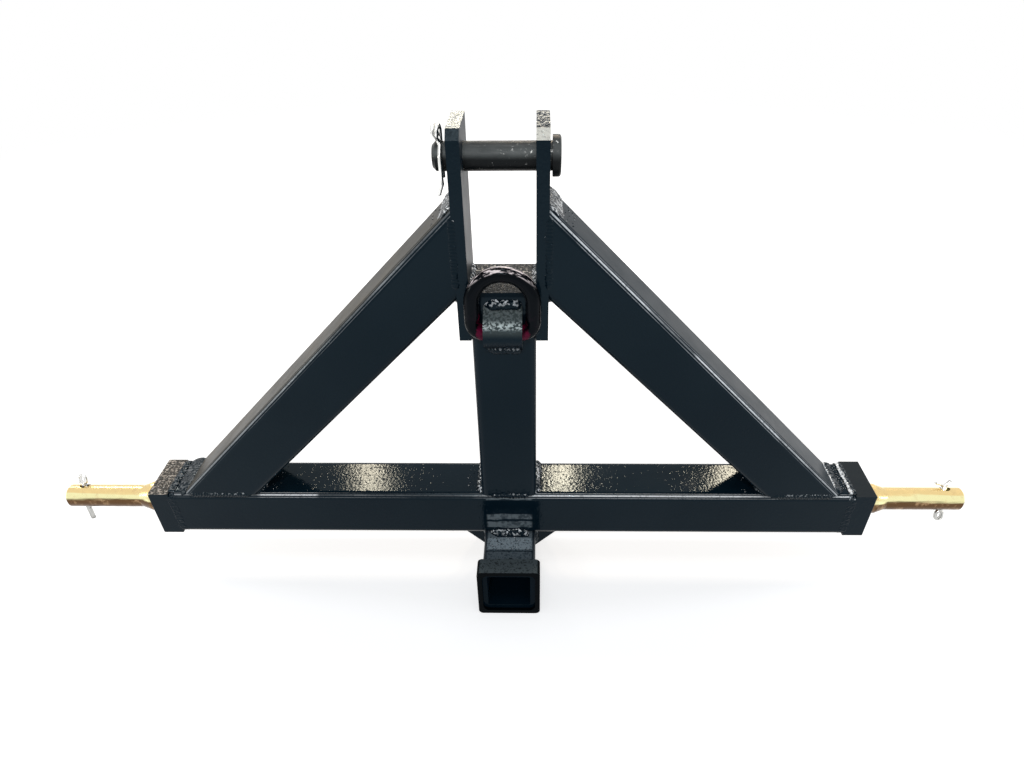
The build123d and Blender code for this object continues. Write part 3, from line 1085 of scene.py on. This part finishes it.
@dataclass
class BeadMaker:
    """Lays weld beads: overlapping crescent ripples with an uneven edge.

    swell and steepness shape each ripple, and bow its crescent. The edge wanders by two waves, whose
    radians per metre are sways. lumps holds how much finer each layer of small lumps is, and its
    share. At an end the bead shrinks to stub of its section over taper ripples. A bead that runs
    right round a tube is ground back to flush, a share of its height, where it looks forward more
    than front.
    """

    ripple: float = 0.0034
    step: float = 0.0008
    swell: float = 0.11
    steepness: float = 1.6
    bow: float = 0.45
    wander: float = 0.1
    sways: tuple[float, float] = (170.0, 310.0)
    stub: float = 0.12
    taper: float = 1.6
    lump_scale: float = 380.0
    lump_height: float = 0.00045
    lumps: tuple[tuple[float, float], ...] = ((1.0, 1.0), (2.3, 0.6), (4.1, 0.3))
    segments: int = 26
    flush: float = 0.12
    front: float = -0.35
    seed: int = 7

    def __post_init__(self) -> None:
        """Start the bead's own random numbers."""
        self.random = random.Random(self.seed)

    def frame_at(self, along: Vector, out: Vector, spot: Vector) -> Matrix:
        """Axes of the bead's section: X faces out and Z runs along the seam.

        Args:
            along: the seam's direction.
            out: the way that the bead faces.
            spot: the section's centre.

        Returns:
            The matrix from section to object.
        """
        z = along.normalized()
        x = (out - out.dot(z) * z).normalized()
        y = z.cross(x)
        matrix = Matrix((x, y, z)).transposed().to_4x4()
        matrix.translation = spot
        return matrix

    def section_scale(self, distance: float, length: float, phase: float,
                      closed: bool) -> tuple[float, float]:
        """How far the section swells and the bead's edge wanders at one place.

        Args:
            distance: distance along the seam.
            length: the seam's length.
            phase: start of this bead's ripples.
            closed: whether the bead runs round into itself.

        Returns:
            The section's scale across and outwards.
        """
        wave = (distance / self.ripple + phase) % 1.0
        crest = 1.0 + self.swell * (0.5 - wave) * self.steepness
        slow, fast = self.sways
        drift = 1.0 + self.wander * sin(distance * fast + phase * 9.0) * cos(distance * slow + phase * 5.0)
        if closed:
            return crest * drift, crest
        from_end = max(0.0, min(distance, length - distance))
        run_out = min(1.0, max(self.stub, sqrt(from_end / self.ripple / self.taper)))
        return crest * drift * run_out, crest * run_out

    def lay(self, bm: Mesh, stations: list[tuple[Vector, Vector, Vector, float]],
            height: float, half_width: float, closed: bool = False) -> None:
        """Sweep one bead through its stations.

        Args:
            bm: the mesh that gets the bead.
            stations: for each ring its centre, direction, facing and distance along the seam.
            height: how far the bead stands out from the seam.
            half_width: half of the bead's width.
            closed: whether the last ring joins the first.
        """
        phase = self.random.random()
        length = stations[-1][3]
        verts = bmesh.ops.create_circle(bm, segments=self.segments, radius=1.0)["verts"]
        for vert in verts:
            vert.co.z += self.bow * half_width * vert.co.x
        laid = list(verts)
        edges = first = once(edge for vert in verts for edge in vert.link_edges)
        before = Matrix.Identity(4)
        for i, (spot, along, out, distance) in enumerate(stations):
            across, outwards = self.section_scale(distance, length, phase, closed)
            if closed and out.y < self.front:
                outwards *= self.flush
            size = Matrix.Diagonal((outwards * height, across * half_width, outwards, 1.0))
            matrix = self.frame_at(along, out, spot) @ size
            if i:
                verts, edges = grow(bm, edges)
                laid += verts
            bmesh.ops.transform(bm, matrix=matrix @ before.inverted(), verts=verts)
            before = matrix
        if closed:
            bmesh.ops.bridge_loops(bm, edges=first + edges)
        else:
            close(bm, first, edges)
        self.roughen(laid)

    def roughen(self, verts: list[Vert]) -> None:
        """Push a bead's skin in and out in small lumps.

        Args:
            verts: the bead's vertices.
        """
        for vert in verts:
            vert.normal_update()
        for vert in verts:
            spot = vert.co * self.lump_scale
            lump = sum(share * noise.noise(spot * finer) for finer, share in self.lumps)
            vert.co += vert.normal * lump * self.lump_height

    def lay_seam(self, bm: Mesh, seam: Seam) -> None:
        """Lay a straight bead.

        Args:
            bm: the mesh that gets the bead.
            seam: the seam.
        """
        start, end = Vector(seam.start), Vector(seam.end)
        length = (end - start).length
        count = max(4, round(length / self.step))
        stations = []
        for i in range(count + 1):
            share = i / count
            stations.append((start.lerp(end, share), end - start, Vector(seam.out), share * length))
        self.lay(bm, stations, seam.height, seam.half_width)

    def lay_round(self, bm: Mesh, side: float, corner: float, x: float, height: float,
                  half_width: float) -> None:
        """Lay a bead right round a square tube that runs along X.

        Args:
            bm: the mesh that gets the bead.
            side: the tube's outer side.
            corner: its corner radius.
            x: the seam's place.
            height: how far the bead stands out.
            half_width: half of the bead's width.
        """
        flat = side / 2 - corner
        arc = corner * pi / 2
        lap = 4 * (2 * flat + arc)
        count = round(lap / self.step)
        stations = []
        for i in range(count):
            travel = lap * i / count
            quarter, rest = divmod(travel, 2 * flat + arc)
            if rest < 2 * flat:
                spot = Vector((x, side / 2, rest - flat))
                out = Vector((0, 1, 0))
            else:
                angle = (rest - 2 * flat) / corner
                out = Vector((0, cos(angle), sin(angle)))
                spot = Vector((x, flat, flat)) + corner * out
            turn = Matrix.Rotation(quarter * pi / 2, 3, "X")
            along = Vector((0, -out.z, out.y))
            stations.append((turn @ spot, turn @ along, turn @ out, travel))
        self.lay(bm, stations, height, half_width, closed=True)


class Joint(Enum):
    """Kinds of weld seam, as the bead's height and half width."""

    HEAD = (0.0013, 0.0096)
    FLOW = (0.0046, 0.0160)
    HEEL = (0.0042, 0.0072)
    SQUARE = (0.0058, 0.0080)
    SHARP = (0.0070, 0.0066)
    GROOVE = (0.0050, 0.0056)
    SMALL = (0.0039, 0.0046)
    CAP = (0.0034, 0.0060)
    BLOCK = (0.0019, 0.0046)

    def along(self, start: Point, end: Point, out: Point) -> Seam:
        """Seam of this kind.

        Args:
            start: its first end.
            end: its other end.
            out: the way that it faces.

        Returns:
            The seam.
        """
        return Seam(start, end, out, *self.value)


@dataclass
class Welds:
    """Every weld bead on the frame, laid over the frame's plain weld nodes.

    The depths are how far groove and small beads lie inside the steel's faces, and the stops how
    far a bead ends short of a corner. wrap is how far a cross bead runs on over a rounded corner,
    slide how far the head's bead lies down the brace, spill how far the left heel's bead has run
    out, and root how far the receiver's side beads lie inside its walls.
    """

    layout: Layout
    workshop: Workshop
    maker: BeadMaker
    groove_depth: float = 0.0040
    small_depth: float = 0.0040
    stop: float = 0.001
    front_stop: float = 0.0008
    cap_stop: float = 0.005
    tack_half: float = 0.0065
    wrap: float = 0.0035
    slide: float = 0.0062
    spill: float = 0.0030
    root: float = 0.002

    def piece(self, stem: str, seams: list[Seam], finish: Finish = Finish.WELD) -> None:
        """Lay several seams as one piece, over the plain weld node of the same stem.

        Args:
            stem: start of the piece's name and of the node's.
            seams: its seams.
            finish: its finish.
        """
        bm = bmesh.new()
        for seam in seams:
            self.maker.lay_seam(bm, seam)
        self.workshop.add(bm, f"{stem}_beads", Body.FRAME, finish, "weld_enamel", (f"{stem}_welds",))

    def cross(self, x: float, z: float, out: Point, joint: Joint) -> Seam:
        """Seam that runs from front to back.

        Args:
            x: its place along X.
            z: its height.
            out: the way that it faces.
            joint: its kind.

        Returns:
            The seam.
        """
        reach = self.layout.flat + self.wrap
        return joint.along((x, -reach, z), (x, reach, z), out)

    def grooves(self, start: tuple[float, float], end: tuple[float, float]) -> list[Seam]:
        """Groove seams on the front and the back of the tubes.

        Args:
            start: X and Z of the first end.
            end: X and Z of the other end.

        Returns:
            The front's seam and the back's.
        """
        depth = -self.layout.half + self.groove_depth
        front = Joint.GROOVE.along((start[0], depth, start[1]), (end[0], depth, end[1]), (0, -1, 0))
        return [front, front.mirrored(1)]

    def lay_braces(self) -> None:
        """Lay the beads at both braces' heads and feet."""
        at = self.layout
        corner = at.half - at.flat
        head = [
            self.cross(at.plate_outer + self.slide, at.head_top - self.slide, (0.72, 0, 0.69), Joint.HEAD),
            self.cross(at.plate_outer, at.head_low, (0.383, 0, -0.924), Joint.SHARP),
            *self.grooves((at.plate_outer, at.head_low + corner), (at.plate_outer, at.head_top - corner)),
        ]
        for side in Side:
            heel, spill = (Joint.FLOW, self.spill) if side is Side.LEFT else (Joint.HEEL, 0.0)
            foot = [
                self.cross(at.heel_x + spill, at.half, (0.38, 0, 0.92), heel),
                self.cross(at.toe_x, at.half, (-0.92, 0, 0.38), Joint.SHARP),
                *self.grooves((at.toe_x + corner, at.half), (at.heel_x - corner, at.half)),
            ]
            self.piece(f"{side.label}_brace_head", on_side(head, side), Finish.HEAD_WELD)
            self.piece(f"{side.label}_brace_foot", on_side(foot, side))

    def lay_blocks(self) -> None:
        """Lay the beads round the crossbar at its end blocks."""
        at = self.layout
        height, half_width = Joint.BLOCK.value
        for side in Side:
            bm = bmesh.new()
            x = side.value * (at.seam_x - 0.5 * half_width)
            self.maker.lay_round(bm, 2 * at.half, at.half - at.flat, x, height, half_width)
            stem = f"{side.label}_end_block"
            self.workshop.add(bm, f"{stem}_bead", Body.FRAME, Finish.WELD, "weld_enamel", (f"{stem}_weld",))

    def lay_post(self) -> None:
        """Lay the beads at the post's foot, its cap and the mast plates."""
        at = self.layout
        side = self.cross(at.half, at.half, (1, 0, 1), Joint.SQUARE)
        seams = [side, side.mirrored(0), *self.grooves((-at.flat, at.half), (at.flat, at.half))]
        self.piece("post_foot", seams)
        cap = self.cross(at.half, at.post_top, (-1, 0, 1), Joint.CAP)
        self.piece("post_cap", [cap, cap.mirrored(0)])
        edges = self.grooves((at.half, at.plate_bottom + self.stop), (at.half, at.post_top - self.cap_stop))
        under = self.cross(at.half, at.plate_bottom, (1, 0, -1), Joint.GROOVE)
        for hand in Side:
            self.piece(f"{hand.label}_mast_plate", on_side([under, *edges], hand), Finish.PLAIN_WELD)

    def lay_receiver(self) -> None:
        """Lay the beads between receiver, crossbar and gussets."""
        at = self.layout
        low = -at.half
        reach = at.flat - self.front_stop
        front = Joint.SQUARE.along((-reach, low, low), (reach, low, low), (0, -1, -0.2))
        side = at.tube_half - self.root
        corner = self.small_depth + self.stop
        run = Joint.GROOVE.along((side, at.gusset_half + corner, low), (side, at.flat, low), (1, 0, 0))
        quarters = [run, run.mirrored(0), run.mirrored(1), run.mirrored(0).mirrored(1)]
        self.piece("receiver", [front, front.mirrored(1), *quarters])
        y = -at.gusset_half
        leg = at.gusset_leg - self.small_depth
        bar = Joint.SMALL.along((at.tube_half + corner, y, low), (at.tube_half + leg, y, low), (0, -1, -1))
        tube = Joint.SMALL.along((at.tube_half, y, low - leg), (at.tube_half, y, low - corner), (1, -1, 0))
        seams = [bar, tube, bar.mirrored(1), tube.mirrored(1)]
        for hand in Side:
            self.piece(f"{hand.label}_gusset", on_side(seams, hand))

    def lay_tacks(self) -> None:
        """Lay one short tack behind the collar on each side of the tube."""
        at = self.layout
        middle = Vector((0, at.collar_back, at.tube_middle))
        tacks = []
        for quarter in range(4):
            turn = Matrix.Rotation(quarter * pi / 2, 3, "Y")
            ends = [middle + turn @ Vector((x, 0, at.tube_half)) for x in (-self.tack_half, self.tack_half)]
            out = turn @ Vector((0, 0.5, 1))
            tacks.append(Joint.GROOVE.along(tuple(ends[0]), tuple(ends[1]), tuple(out)))
        self.piece("collar_tack", tacks)

    def lay_bracket(self) -> None:
        """Lay the beads along both feet of the ring's bracket."""
        at = self.layout
        reach = at.bracket_half - self.stop
        seams = []
        for z, out in ((at.bracket_low, (0, -1, -0.7)), (at.bracket_high, (0, -1, 0.7))):
            seams.append(Joint.GROOVE.along((-reach, -at.half, z), (reach, -at.half, z), out))
        self.piece("ring_bracket", seams)

    def build(self) -> None:
        """Lay every bead."""
        self.lay_braces()
        self.lay_blocks()
        self.lay_post()
        self.lay_receiver()
        self.lay_tacks()
        self.lay_bracket()


@dataclass(frozen=True)
class SpatterZone:
    """Patch of steel beside a weld: its middle, its two half sides and how many droplets lie there."""

    middle: Point
    along: Point
    across: Point
    count: int


@dataclass
class Spatter:
    """Droplets of weld metal that froze on the steel, under the paint.

    A gap is the distance from a seam to the middle of its droplets, and a reach half their spread,
    both in metres: at the braces' toes, the post's foot, the receiver and down the braces' heads.
    """

    layout: Layout
    workshop: Workshop
    smallest: float = 0.00035
    largest: float = 0.0010
    toe_gap: float = 0.014
    toe_reach: float = 0.008
    foot_gap: float = 0.010
    foot_reach: float = 0.009
    front_gap: float = 0.016
    front_reach: float = 0.012
    head_gap: float = 0.014175
    head_reach: float = 0.0105
    seed: int = 31

    def zones(self) -> list[SpatterZone]:
        """Patches that the droplets fell on.

        Returns:
            The zones beside the braces' feet and heads, the post's foot and the receiver.
        """
        at = self.layout
        across = (0, at.flat, 0)
        beside = (
            ((at.heel_x + at.seam_x) / 2, (at.seam_x - at.heel_x) / 2, 130, 60),
            (at.toe_x - self.toe_gap, self.toe_reach, 26, 40),
            (at.half + self.foot_gap, self.foot_reach, 60, 40),
        )
        zones = []
        for x, reach, right, left in beside:
            for sign, count in ((1, right), (-1, left)):
                zones.append(SpatterZone((sign * x, 0, at.half), (reach, 0, 0), across, count))
        front = (0, -at.half - self.front_gap, -at.half)
        zones.append(SpatterZone(front, (at.flat, 0, 0), (0, self.front_reach, 0), 40))
        for sign, count in ((1, 36), (-1, 20)):
            middle = (sign * (at.plate_outer + self.head_gap), 0, at.head_top - self.head_gap)
            zones.append(SpatterZone(middle, (self.head_reach, 0, -sign * self.head_reach), across, count))
        return zones

    def build(self) -> None:
        """Drop every droplet."""
        chance = random.Random(self.seed)
        bm = bmesh.new()
        for zone in self.zones():
            for _ in range(zone.count):
                spot = Vector(zone.middle) + Vector(zone.along) * chance.uniform(-1, 1)
                spot += Vector(zone.across) * chance.uniform(-1, 1)
                radius = self.smallest + (self.largest - self.smallest) * chance.random() ** 2
                bmesh.ops.create_icosphere(bm, subdivisions=1, radius=radius, matrix=Matrix.Translation(spot))
        self.workshop.add(bm, "weld_spatter", Body.FRAME, Finish.WELD, "weld_enamel")


class WireBender:
    """Bends wire in the XZ plane, as a forming machine does: feed, then turn round a former."""

    facet_degrees: float = 12.0

    def __init__(self, radius: float, sides: int = 24, round_wire: bool = False) -> None:
        """Cut the wire's end face.

        Args:
            radius: the wire's radius.
            sides: sides of a full round.
            round_wire: whether the wire is round, and not half round.
        """
        self.bm = bmesh.new()
        bmesh.ops.create_circle(self.bm, segments=sides, radius=radius)
        if not round_wire:
            bmesh.ops.bisect_plane(
                self.bm,
                geom=self.bm.verts[:] + self.bm.edges[:],
                plane_co=(0, 0, 0),
                plane_no=(1, 0, 0),
                clear_inner=True,
            )
            ends = [vert for vert in self.bm.verts if len(vert.link_edges) == 1]
            self.bm.edges.new(ends)
        self.edges = self.bm.edges[:]
        self.first = self.edges
        self.spot = Vector((0, 0, 0))
        self.heading = 0.0

    def direction(self) -> Vector:
        """Unit vector along the wire, in the XZ plane."""
        return Vector((sin(self.heading), 0, cos(self.heading)))

    def feed(self, length: float) -> None:
        """Push the wire on, straight.

        Args:
            length: how far.
        """
        verts, self.edges = grow(self.bm, self.edges)
        bmesh.ops.translate(self.bm, verts=verts, vec=self.direction() * length)
        self.spot += self.direction() * length

    def turn(self, radius: float, degrees: float, drift: float = 0.0) -> None:
        """Bend the wire round a former.

        Args:
            radius: bend radius at the wire's path.
            degrees: how far, positive towards +X from +Z.
            drift: how far the wire moves along +Y meanwhile, as in a coil.
        """
        angle = radians(degrees)
        side = 1.0 if degrees > 0 else -1.0
        to_centre = Vector((cos(self.heading), 0, -sin(self.heading))) * side * radius
        centre = self.spot + to_centre
        steps = max(2, round(abs(degrees) / self.facet_degrees))
        verts = once(vert for edge in self.edges for vert in edge.verts)
        spun = bmesh.ops.spin(
            self.bm,
            geom=verts + self.edges,
            cent=centre,
            axis=(0, 1, 0),
            dvec=(0, drift / steps, 0),
            angle=angle,
            steps=steps,
            use_duplicate=False,
        )
        self.edges = [item for item in spun["geom_last"] if isinstance(item, Edge)]
        self.spot = centre + Matrix.Rotation(angle, 3, "Y") @ (-to_centre) + Vector((0, drift, 0))
        self.heading += angle

    def cut(self) -> Mesh:
        """Cut the wire off and close both ends.

        Returns:
            The wire's mesh.
        """
        close(self.bm, self.first, self.edges)
        return self.bm


@dataclass(frozen=True)
class SplitPin:
    """Split pin through one lower link pin: its place, its lean and how its legs are bent.

    The pin is folded from half-round wire about its own Z axis, with the eye on top. A leg's bend
    is in degrees, first of the leg on the -X side and then of the one on the +X side, and the
    legs' free lengths are given in the same order. Each half stands parting off the middle.
    """

    side: Side
    upside_down: bool
    bends: tuple[float, float]
    free: tuple[float, float]
    shift: float = 0.0
    place_x: float = 0.540
    lean: float = 20.0
    wire: float = 0.0030
    shank: float = 0.031
    neck: float = 0.0024
    neck_swing: float = 52.0
    neck_run: float = 0.0014
    eye_flank: float = 0.0036
    bend_radius: float = 0.0045
    parting: float = 0.00005

    def half(self, bend: float, free: float) -> Mesh:
        """One leg with its half of the eye.

        Args:
            bend: how far the leg's foot is bent outwards, in degrees.
            free: length of the bent end.

        Returns:
            The half's mesh, on the +X side.
        """
        leg = WireBender(self.wire)
        leg.feed(self.shank)
        leg.turn(self.neck, self.neck_swing)
        leg.feed(self.neck_run)
        leg.turn(self.neck, -self.neck_swing)
        leg.feed(self.eye_flank)
        leg.turn(leg.spot.x, -90.0)
        foot = WireBender(self.wire)
        foot.turn(self.bend_radius, bend)
        foot.feed(free - self.bend_radius * radians(abs(bend)))
        whole, tip = leg.cut(), foot.cut()
        bmesh.ops.scale(tip, vec=(1, 1, -1), verts=tip.verts)
        join(whole, tip)
        return whole

    def build(self, workshop: Workshop) -> None:
        """Fold the pin and put it through its hole.

        Args:
            workshop: what adds the piece.
        """
        whole = bmesh.new()
        for side, bend, free in zip(Side, self.bends, self.free):
            half = self.half(bend, free)
            if side is Side.LEFT:
                bmesh.ops.scale(half, vec=(-1, 1, 1), verts=half.verts)
            bmesh.ops.translate(half, vec=(self.parting * side.value, 0, -self.shank / 2), verts=half.verts)
            join(whole, half)
        if self.upside_down:
            bmesh.ops.rotate(whole, matrix=Matrix.Rotation(pi, 3, "Y"), verts=whole.verts)
        bmesh.ops.rotate(whole, matrix=Matrix.Rotation(-radians(self.lean), 3, "X"), verts=whole.verts)
        spot = (self.side.value * self.place_x + self.shift, 0, 0)
        bmesh.ops.translate(whole, vec=spot, verts=whole.verts)
        workshop.add(whole, f"{self.side.label}_split_pin", Body.FRAME, Finish.WIRE, "bright_steel")


@dataclass(frozen=True)
class HairpinClip:
    """Hairpin clip of round wire: a straight leg through the top pin, a coiled eye and a bowed leg.

    The eye's coils stand away from the left mast plate, and the bow comes back beside it, no nearer
    than the top pin's slide leaves room for. The bow's runs are a length, then a turn's radius,
    degrees and drift towards the plate, in the order in which the wire is formed, after the eye.
    axis_z is the height of the top pin's axis, from which leg_foot is measured.
    """

    axis_z: float
    wire: float = 0.00185
    leg_x: float = -0.052
    leg_foot: float = -0.0185
    eye_z: float = 0.0225
    eye_radius: float = 0.0053
    eye_turns: float = 1.5
    eye_pitch: float = 0.00372
    sides: int = 16
    bow: tuple[tuple[float, float, float, float], ...] = (
        (0.0015, 0.004, 42.0, 0.0033),
        (0.0012, 0.004, -92.0, 0.0026),
        (0.0075, 0.006, 50.0, 0.0),
        (0.0150, 0.010, 28.0, 0.0),
        (0.0030, 0.022, -26.0, -0.0036),
        (0.0010, 0.0, 0.0, 0.0),
    )

    def build(self, workshop: Workshop) -> None:
        """Form the clip and put it through the pin.

        Args:
            workshop: what adds the piece.
        """
        bender = WireBender(self.wire, self.sides, round_wire=True)
        bender.feed(self.eye_z - self.leg_foot)
        away = -self.eye_pitch * self.eye_turns
        bender.turn(self.eye_radius, 360.0 * self.eye_turns, away)
        for length, radius, degrees, aside in self.bow:
            bender.feed(length)
            if degrees:
                bender.turn(radius, degrees, aside)
        bm = bender.cut()
        bmesh.ops.rotate(bm, matrix=Matrix.Rotation(-pi / 2, 3, "Z"), verts=bm.verts)
        bmesh.ops.translate(bm, vec=(self.leg_x, 0, self.axis_z + self.leg_foot), verts=bm.verts)
        workshop.add(bm, "hairpin_clip", Body.PIN_CLIP, Finish.WIRE, "bright_steel", ("top_pin_clip",))


# Dressing and stage


NODE_FINISHES: dict[Finish, tuple[str, ...]] = {
    Finish.CROSSBAR: ("crossbar_tube",),
    Finish.TUBE: ("centre_post_tube", "left_brace_tube", "right_brace_tube", "left_receiver_gusset",
                  "right_receiver_gusset"),
    Finish.RECEIVER: ("receiver_tube",),
    Finish.COLLAR: ("receiver_collar",),
    Finish.LEFT_PLATE: ("left_mast_plate",),
    Finish.RIGHT_PLATE: ("right_mast_plate",),
    Finish.BLOCK: ("left_end_block",),
    Finish.SMOOTH_BLOCK: ("right_end_block",),
    Finish.CAP: ("post_cap_plate",),
    Finish.BRACKET: ("ring_bracket",),
    Finish.LINK_PIN: ("left_lower_link_pin", "right_lower_link_pin"),
    Finish.TOP_PIN: ("top_link_pin",),
    Finish.RING: ("lashing_ring",),
}


@dataclass(frozen=True)
class Lamp:
    """Rectangular soft lamp that looks at the frame, placed by its bearing from there.

    bearing is degrees from +Y towards +X, rise degrees above the floor, and brightness the level
    of its own face, where 1 is white.
    """

    name: str
    bearing: float
    rise: float
    distance: float
    width: float
    height: float
    brightness: float
    colour: Colour = (1.0, 1.0, 1.0)
    target: Point = (0.0, 0.0, 0.0)

    def build(self) -> None:
        """Hang the lamp."""
        bearing, rise = radians(self.bearing), radians(self.rise)
        away = Vector((sin(bearing) * cos(rise), cos(bearing) * cos(rise), sin(rise)))
        data = bpy.data.lights.new(self.name, "AREA")
        data.shape = "RECTANGLE"
        data.size = self.width
        data.size_y = self.height
        data.energy = self.brightness * pi * self.width * self.height
        data.color = self.colour
        lamp = bpy.data.objects.new(self.name, data)
        lamp.location = Vector(self.target) + away * self.distance
        lamp.rotation_euler = (-away).to_track_quat("-Z", "Y").to_euler()
        lamp.visible_camera = False
        bpy.context.scene.collection.objects.link(lamp)


@dataclass
class Studio:
    """Pale floor, soft lamps, world and camera.

    The floor glows at floor_glow near the object and fades to white between the distances glow_from
    and glow_to; between clear_from and clear_to it turns into plain background. focal and the two
    centres are in pixels of the photograph's frame, and pitch, yaw and roll in degrees.
    """

    floor_z: float
    floor_size: float = 16.0
    floor_colour: Colour = (0.55, 0.57, 0.6)
    floor_glow: float = 0.63
    glow_from: float = 0.25
    glow_to: float = 1.1
    clear_from: float = 0.9
    clear_to: float = 2.6
    world_level: float = 0.36
    focal: float = 696.095
    centre_x: float = 524.009
    centre_y: float = 430.004
    pitch: float = 38.098
    yaw: float = -1.349
    roll: float = 0.716
    eye: Point = (0.033433, -0.638998, 0.608405)
    sensor: float = 36.0
    far_clip: float = 60.0

    def build(self) -> None:
        """Set the whole stage."""
        self.lay_floor()
        self.light_world()
        for lamp in LAMPS:
            lamp.build()
        self.place_camera()
        bpy.context.scene.view_settings.view_transform = "Standard"

    def seen(self, tree: bpy.types.NodeTree) -> Socket:
        """Share of a ray that should see the white background itself.

        Args:
            tree: the node tree to add to.

        Returns:
            1 for camera, glossy and transmission rays, else 0.
        """
        path = tree.nodes.new("ShaderNodeLightPath")
        total = path.outputs["Is Camera Ray"]
        for name in ("Is Glossy Ray", "Is Transmission Ray"):
            node = tree.nodes.new("ShaderNodeMath")
            node.operation = "MAXIMUM"
            tree.links.new(total, node.inputs[0])
            tree.links.new(path.outputs[name], node.inputs[1])
            total = node.outputs["Value"]
        return total

    def lay_floor(self) -> None:
        """Lay the floor just under the object."""
        bm = bmesh.new()
        bmesh.ops.create_grid(bm, x_segments=1, y_segments=1, size=self.floor_size / 2)
        bmesh.ops.translate(bm, vec=(0, 0, self.floor_z), verts=bm.verts)
        mesh = bpy.data.meshes.new("floor")
        bm.to_mesh(mesh)
        bm.free()
        graph = Graph("pale_floor")
        run = graph.tree.nodes.new("ShaderNodeVectorMath")
        run.operation = "LENGTH"
        graph.tree.links.new(graph.place, run.inputs[0])
        distance = run.outputs["Value"]
        seen = self.seen(graph.tree)
        clear = graph.times(graph.between(distance, self.clear_from, self.clear_to), seen)
        bright = graph.between(distance, self.glow_from, self.glow_to, self.floor_glow, 1.0)
        graph.surface(
            base_color=graph.blend(clear, self.floor_colour, (0.0, 0.0, 0.0)),
            roughness=0.95,
            specular_ior_level=0.0,
            emission_color=(1.0, 1.0, 1.0),
            emission_strength=graph.times(seen, bright),
        )
        mesh.materials.append(graph.material)
        floor = bpy.data.objects.new("floor", mesh)
        bpy.context.scene.collection.objects.link(floor)
        floor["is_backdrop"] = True

    def light_world(self) -> None:
        """White world, dimmer where it only lights the object."""
        world = bpy.data.worlds.new("studio_world")
        world.use_nodes = True
        bpy.context.scene.world = world
        tree = world.node_tree
        background = tree.nodes["Background"]
        background.inputs["Color"].default_value = (1.0, 1.0, 1.0, 1.0)
        level = tree.nodes.new("ShaderNodeMapRange")
        tree.links.new(self.seen(tree), level.inputs["Value"])
        level.inputs["To Min"].default_value = self.world_level
        level.inputs["To Max"].default_value = 1.0
        tree.links.new(level.outputs["Result"], background.inputs["Strength"])

    def place_camera(self) -> None:
        """Put the camera where the photograph was taken from."""
        data = bpy.data.cameras.new("camera")
        data.sensor_width = self.sensor
        data.lens = self.focal * self.sensor / IMAGE_WIDTH
        data.shift_x = (IMAGE_WIDTH / 2 - self.centre_x) / IMAGE_WIDTH
        data.shift_y = (self.centre_y - IMAGE_HEIGHT / 2) / IMAGE_WIDTH
        data.clip_end = self.far_clip
        camera = bpy.data.objects.new("camera", data)
        pitch, yaw, roll = radians(self.pitch), radians(self.yaw), radians(self.roll)
        forward = Vector((sin(yaw) * cos(pitch), cos(yaw) * cos(pitch), -sin(pitch)))
        right = Vector((cos(yaw), -sin(yaw), 0))
        up = right.cross(forward)
        x = cos(roll) * right - sin(roll) * up
        y = sin(roll) * right + cos(roll) * up
        matrix = Matrix((x, y, -forward)).transposed().to_4x4()
        matrix.translation = self.eye
        camera.matrix_world = matrix
        bpy.context.scene.collection.objects.link(camera)
        bpy.context.scene.camera = camera


WARM: Colour = (1.0, 0.79, 0.57)
CREAM: Colour = (1.0, 0.95, 0.84)
LAMPS: tuple[Lamp, ...] = (
    Lamp("left_bay_lamp", -17.9, 40.7, 2.8, 0.10, 0.36, 62.0, WARM, (-0.172, 0, 0.032)),
    Lamp("middle_bay_lamp", 2.6, 42.0, 2.8, 0.10, 0.36, 88.0, WARM, (0.063, 0, 0.032)),
    Lamp("right_bay_lamp", 20.4, 40.2, 2.8, 0.12, 0.36, 66.0, WARM, (0.272, 0, 0.032)),
    Lamp("left_window", -37.0, 36.0, 3.2, 0.7, 0.36, 14.0, CREAM, (-0.42, 0, 0.03)),
    Lamp("far_window", -5.0, 14.5, 3.6, 0.5, 0.35, 10.0, CREAM, (0, 0, 0.448)),
    Lamp("front_strip", 181.0, 47.8, 3.0, 0.55, 0.10, 90.0, (1, 1, 1), (0, -0.07, -0.03)),
    Lamp("left_strip", -97.0, 9.0, 2.6, 0.5, 0.25, 16.0, CREAM, (-0.2, 0, 0.2)),
    Lamp("right_strip", 101.0, 11.0, 2.6, 0.5, 0.25, 10.0, CREAM, (0.2, 0, 0.2)),
    Lamp("overhead_softbox", 180.0, 74.0, 2.9, 1.2, 0.7, 3.6),
    Lamp("skylight", 0.0, 82.0, 2.6, 0.3, 0.3, 36.0, (1, 1, 1), (0, 0, 0.2)),
)


def main() -> None:
    """Build the pieces, dress the nodes and set the stage on a floor under the frame's box."""
    logging.basicConfig(level=logging.INFO, format="%(name)s: %(message)s")
    cad_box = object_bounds()
    layout = Layout.measure()
    workshop = Workshop(Palette())
    for finish, nodes in NODE_FINISHES.items():
        for node in nodes:
            workshop.dress(node, finish)
    Welds(layout, workshop, BeadMaker()).build()
    Spatter(layout, workshop).build()
    SplitPin(Side.LEFT, False, (-14.0, 12.0), (0.0150, 0.0165), shift=-0.0015).build(workshop)
    SplitPin(Side.RIGHT, True, (43.0, 72.0), (0.0115, 0.0135), shift=-0.0015).build(workshop)
    HairpinClip(layout.pin_z).build(workshop)
    Studio(floor_z=cad_box[0][2]).build()


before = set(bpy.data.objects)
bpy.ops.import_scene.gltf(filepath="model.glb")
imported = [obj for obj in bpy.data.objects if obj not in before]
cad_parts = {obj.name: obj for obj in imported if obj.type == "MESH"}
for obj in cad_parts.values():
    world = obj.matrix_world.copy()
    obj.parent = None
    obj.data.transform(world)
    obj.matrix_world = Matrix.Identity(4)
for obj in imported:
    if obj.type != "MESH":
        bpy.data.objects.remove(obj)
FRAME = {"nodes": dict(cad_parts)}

if __name__ == "__main__":
    main()
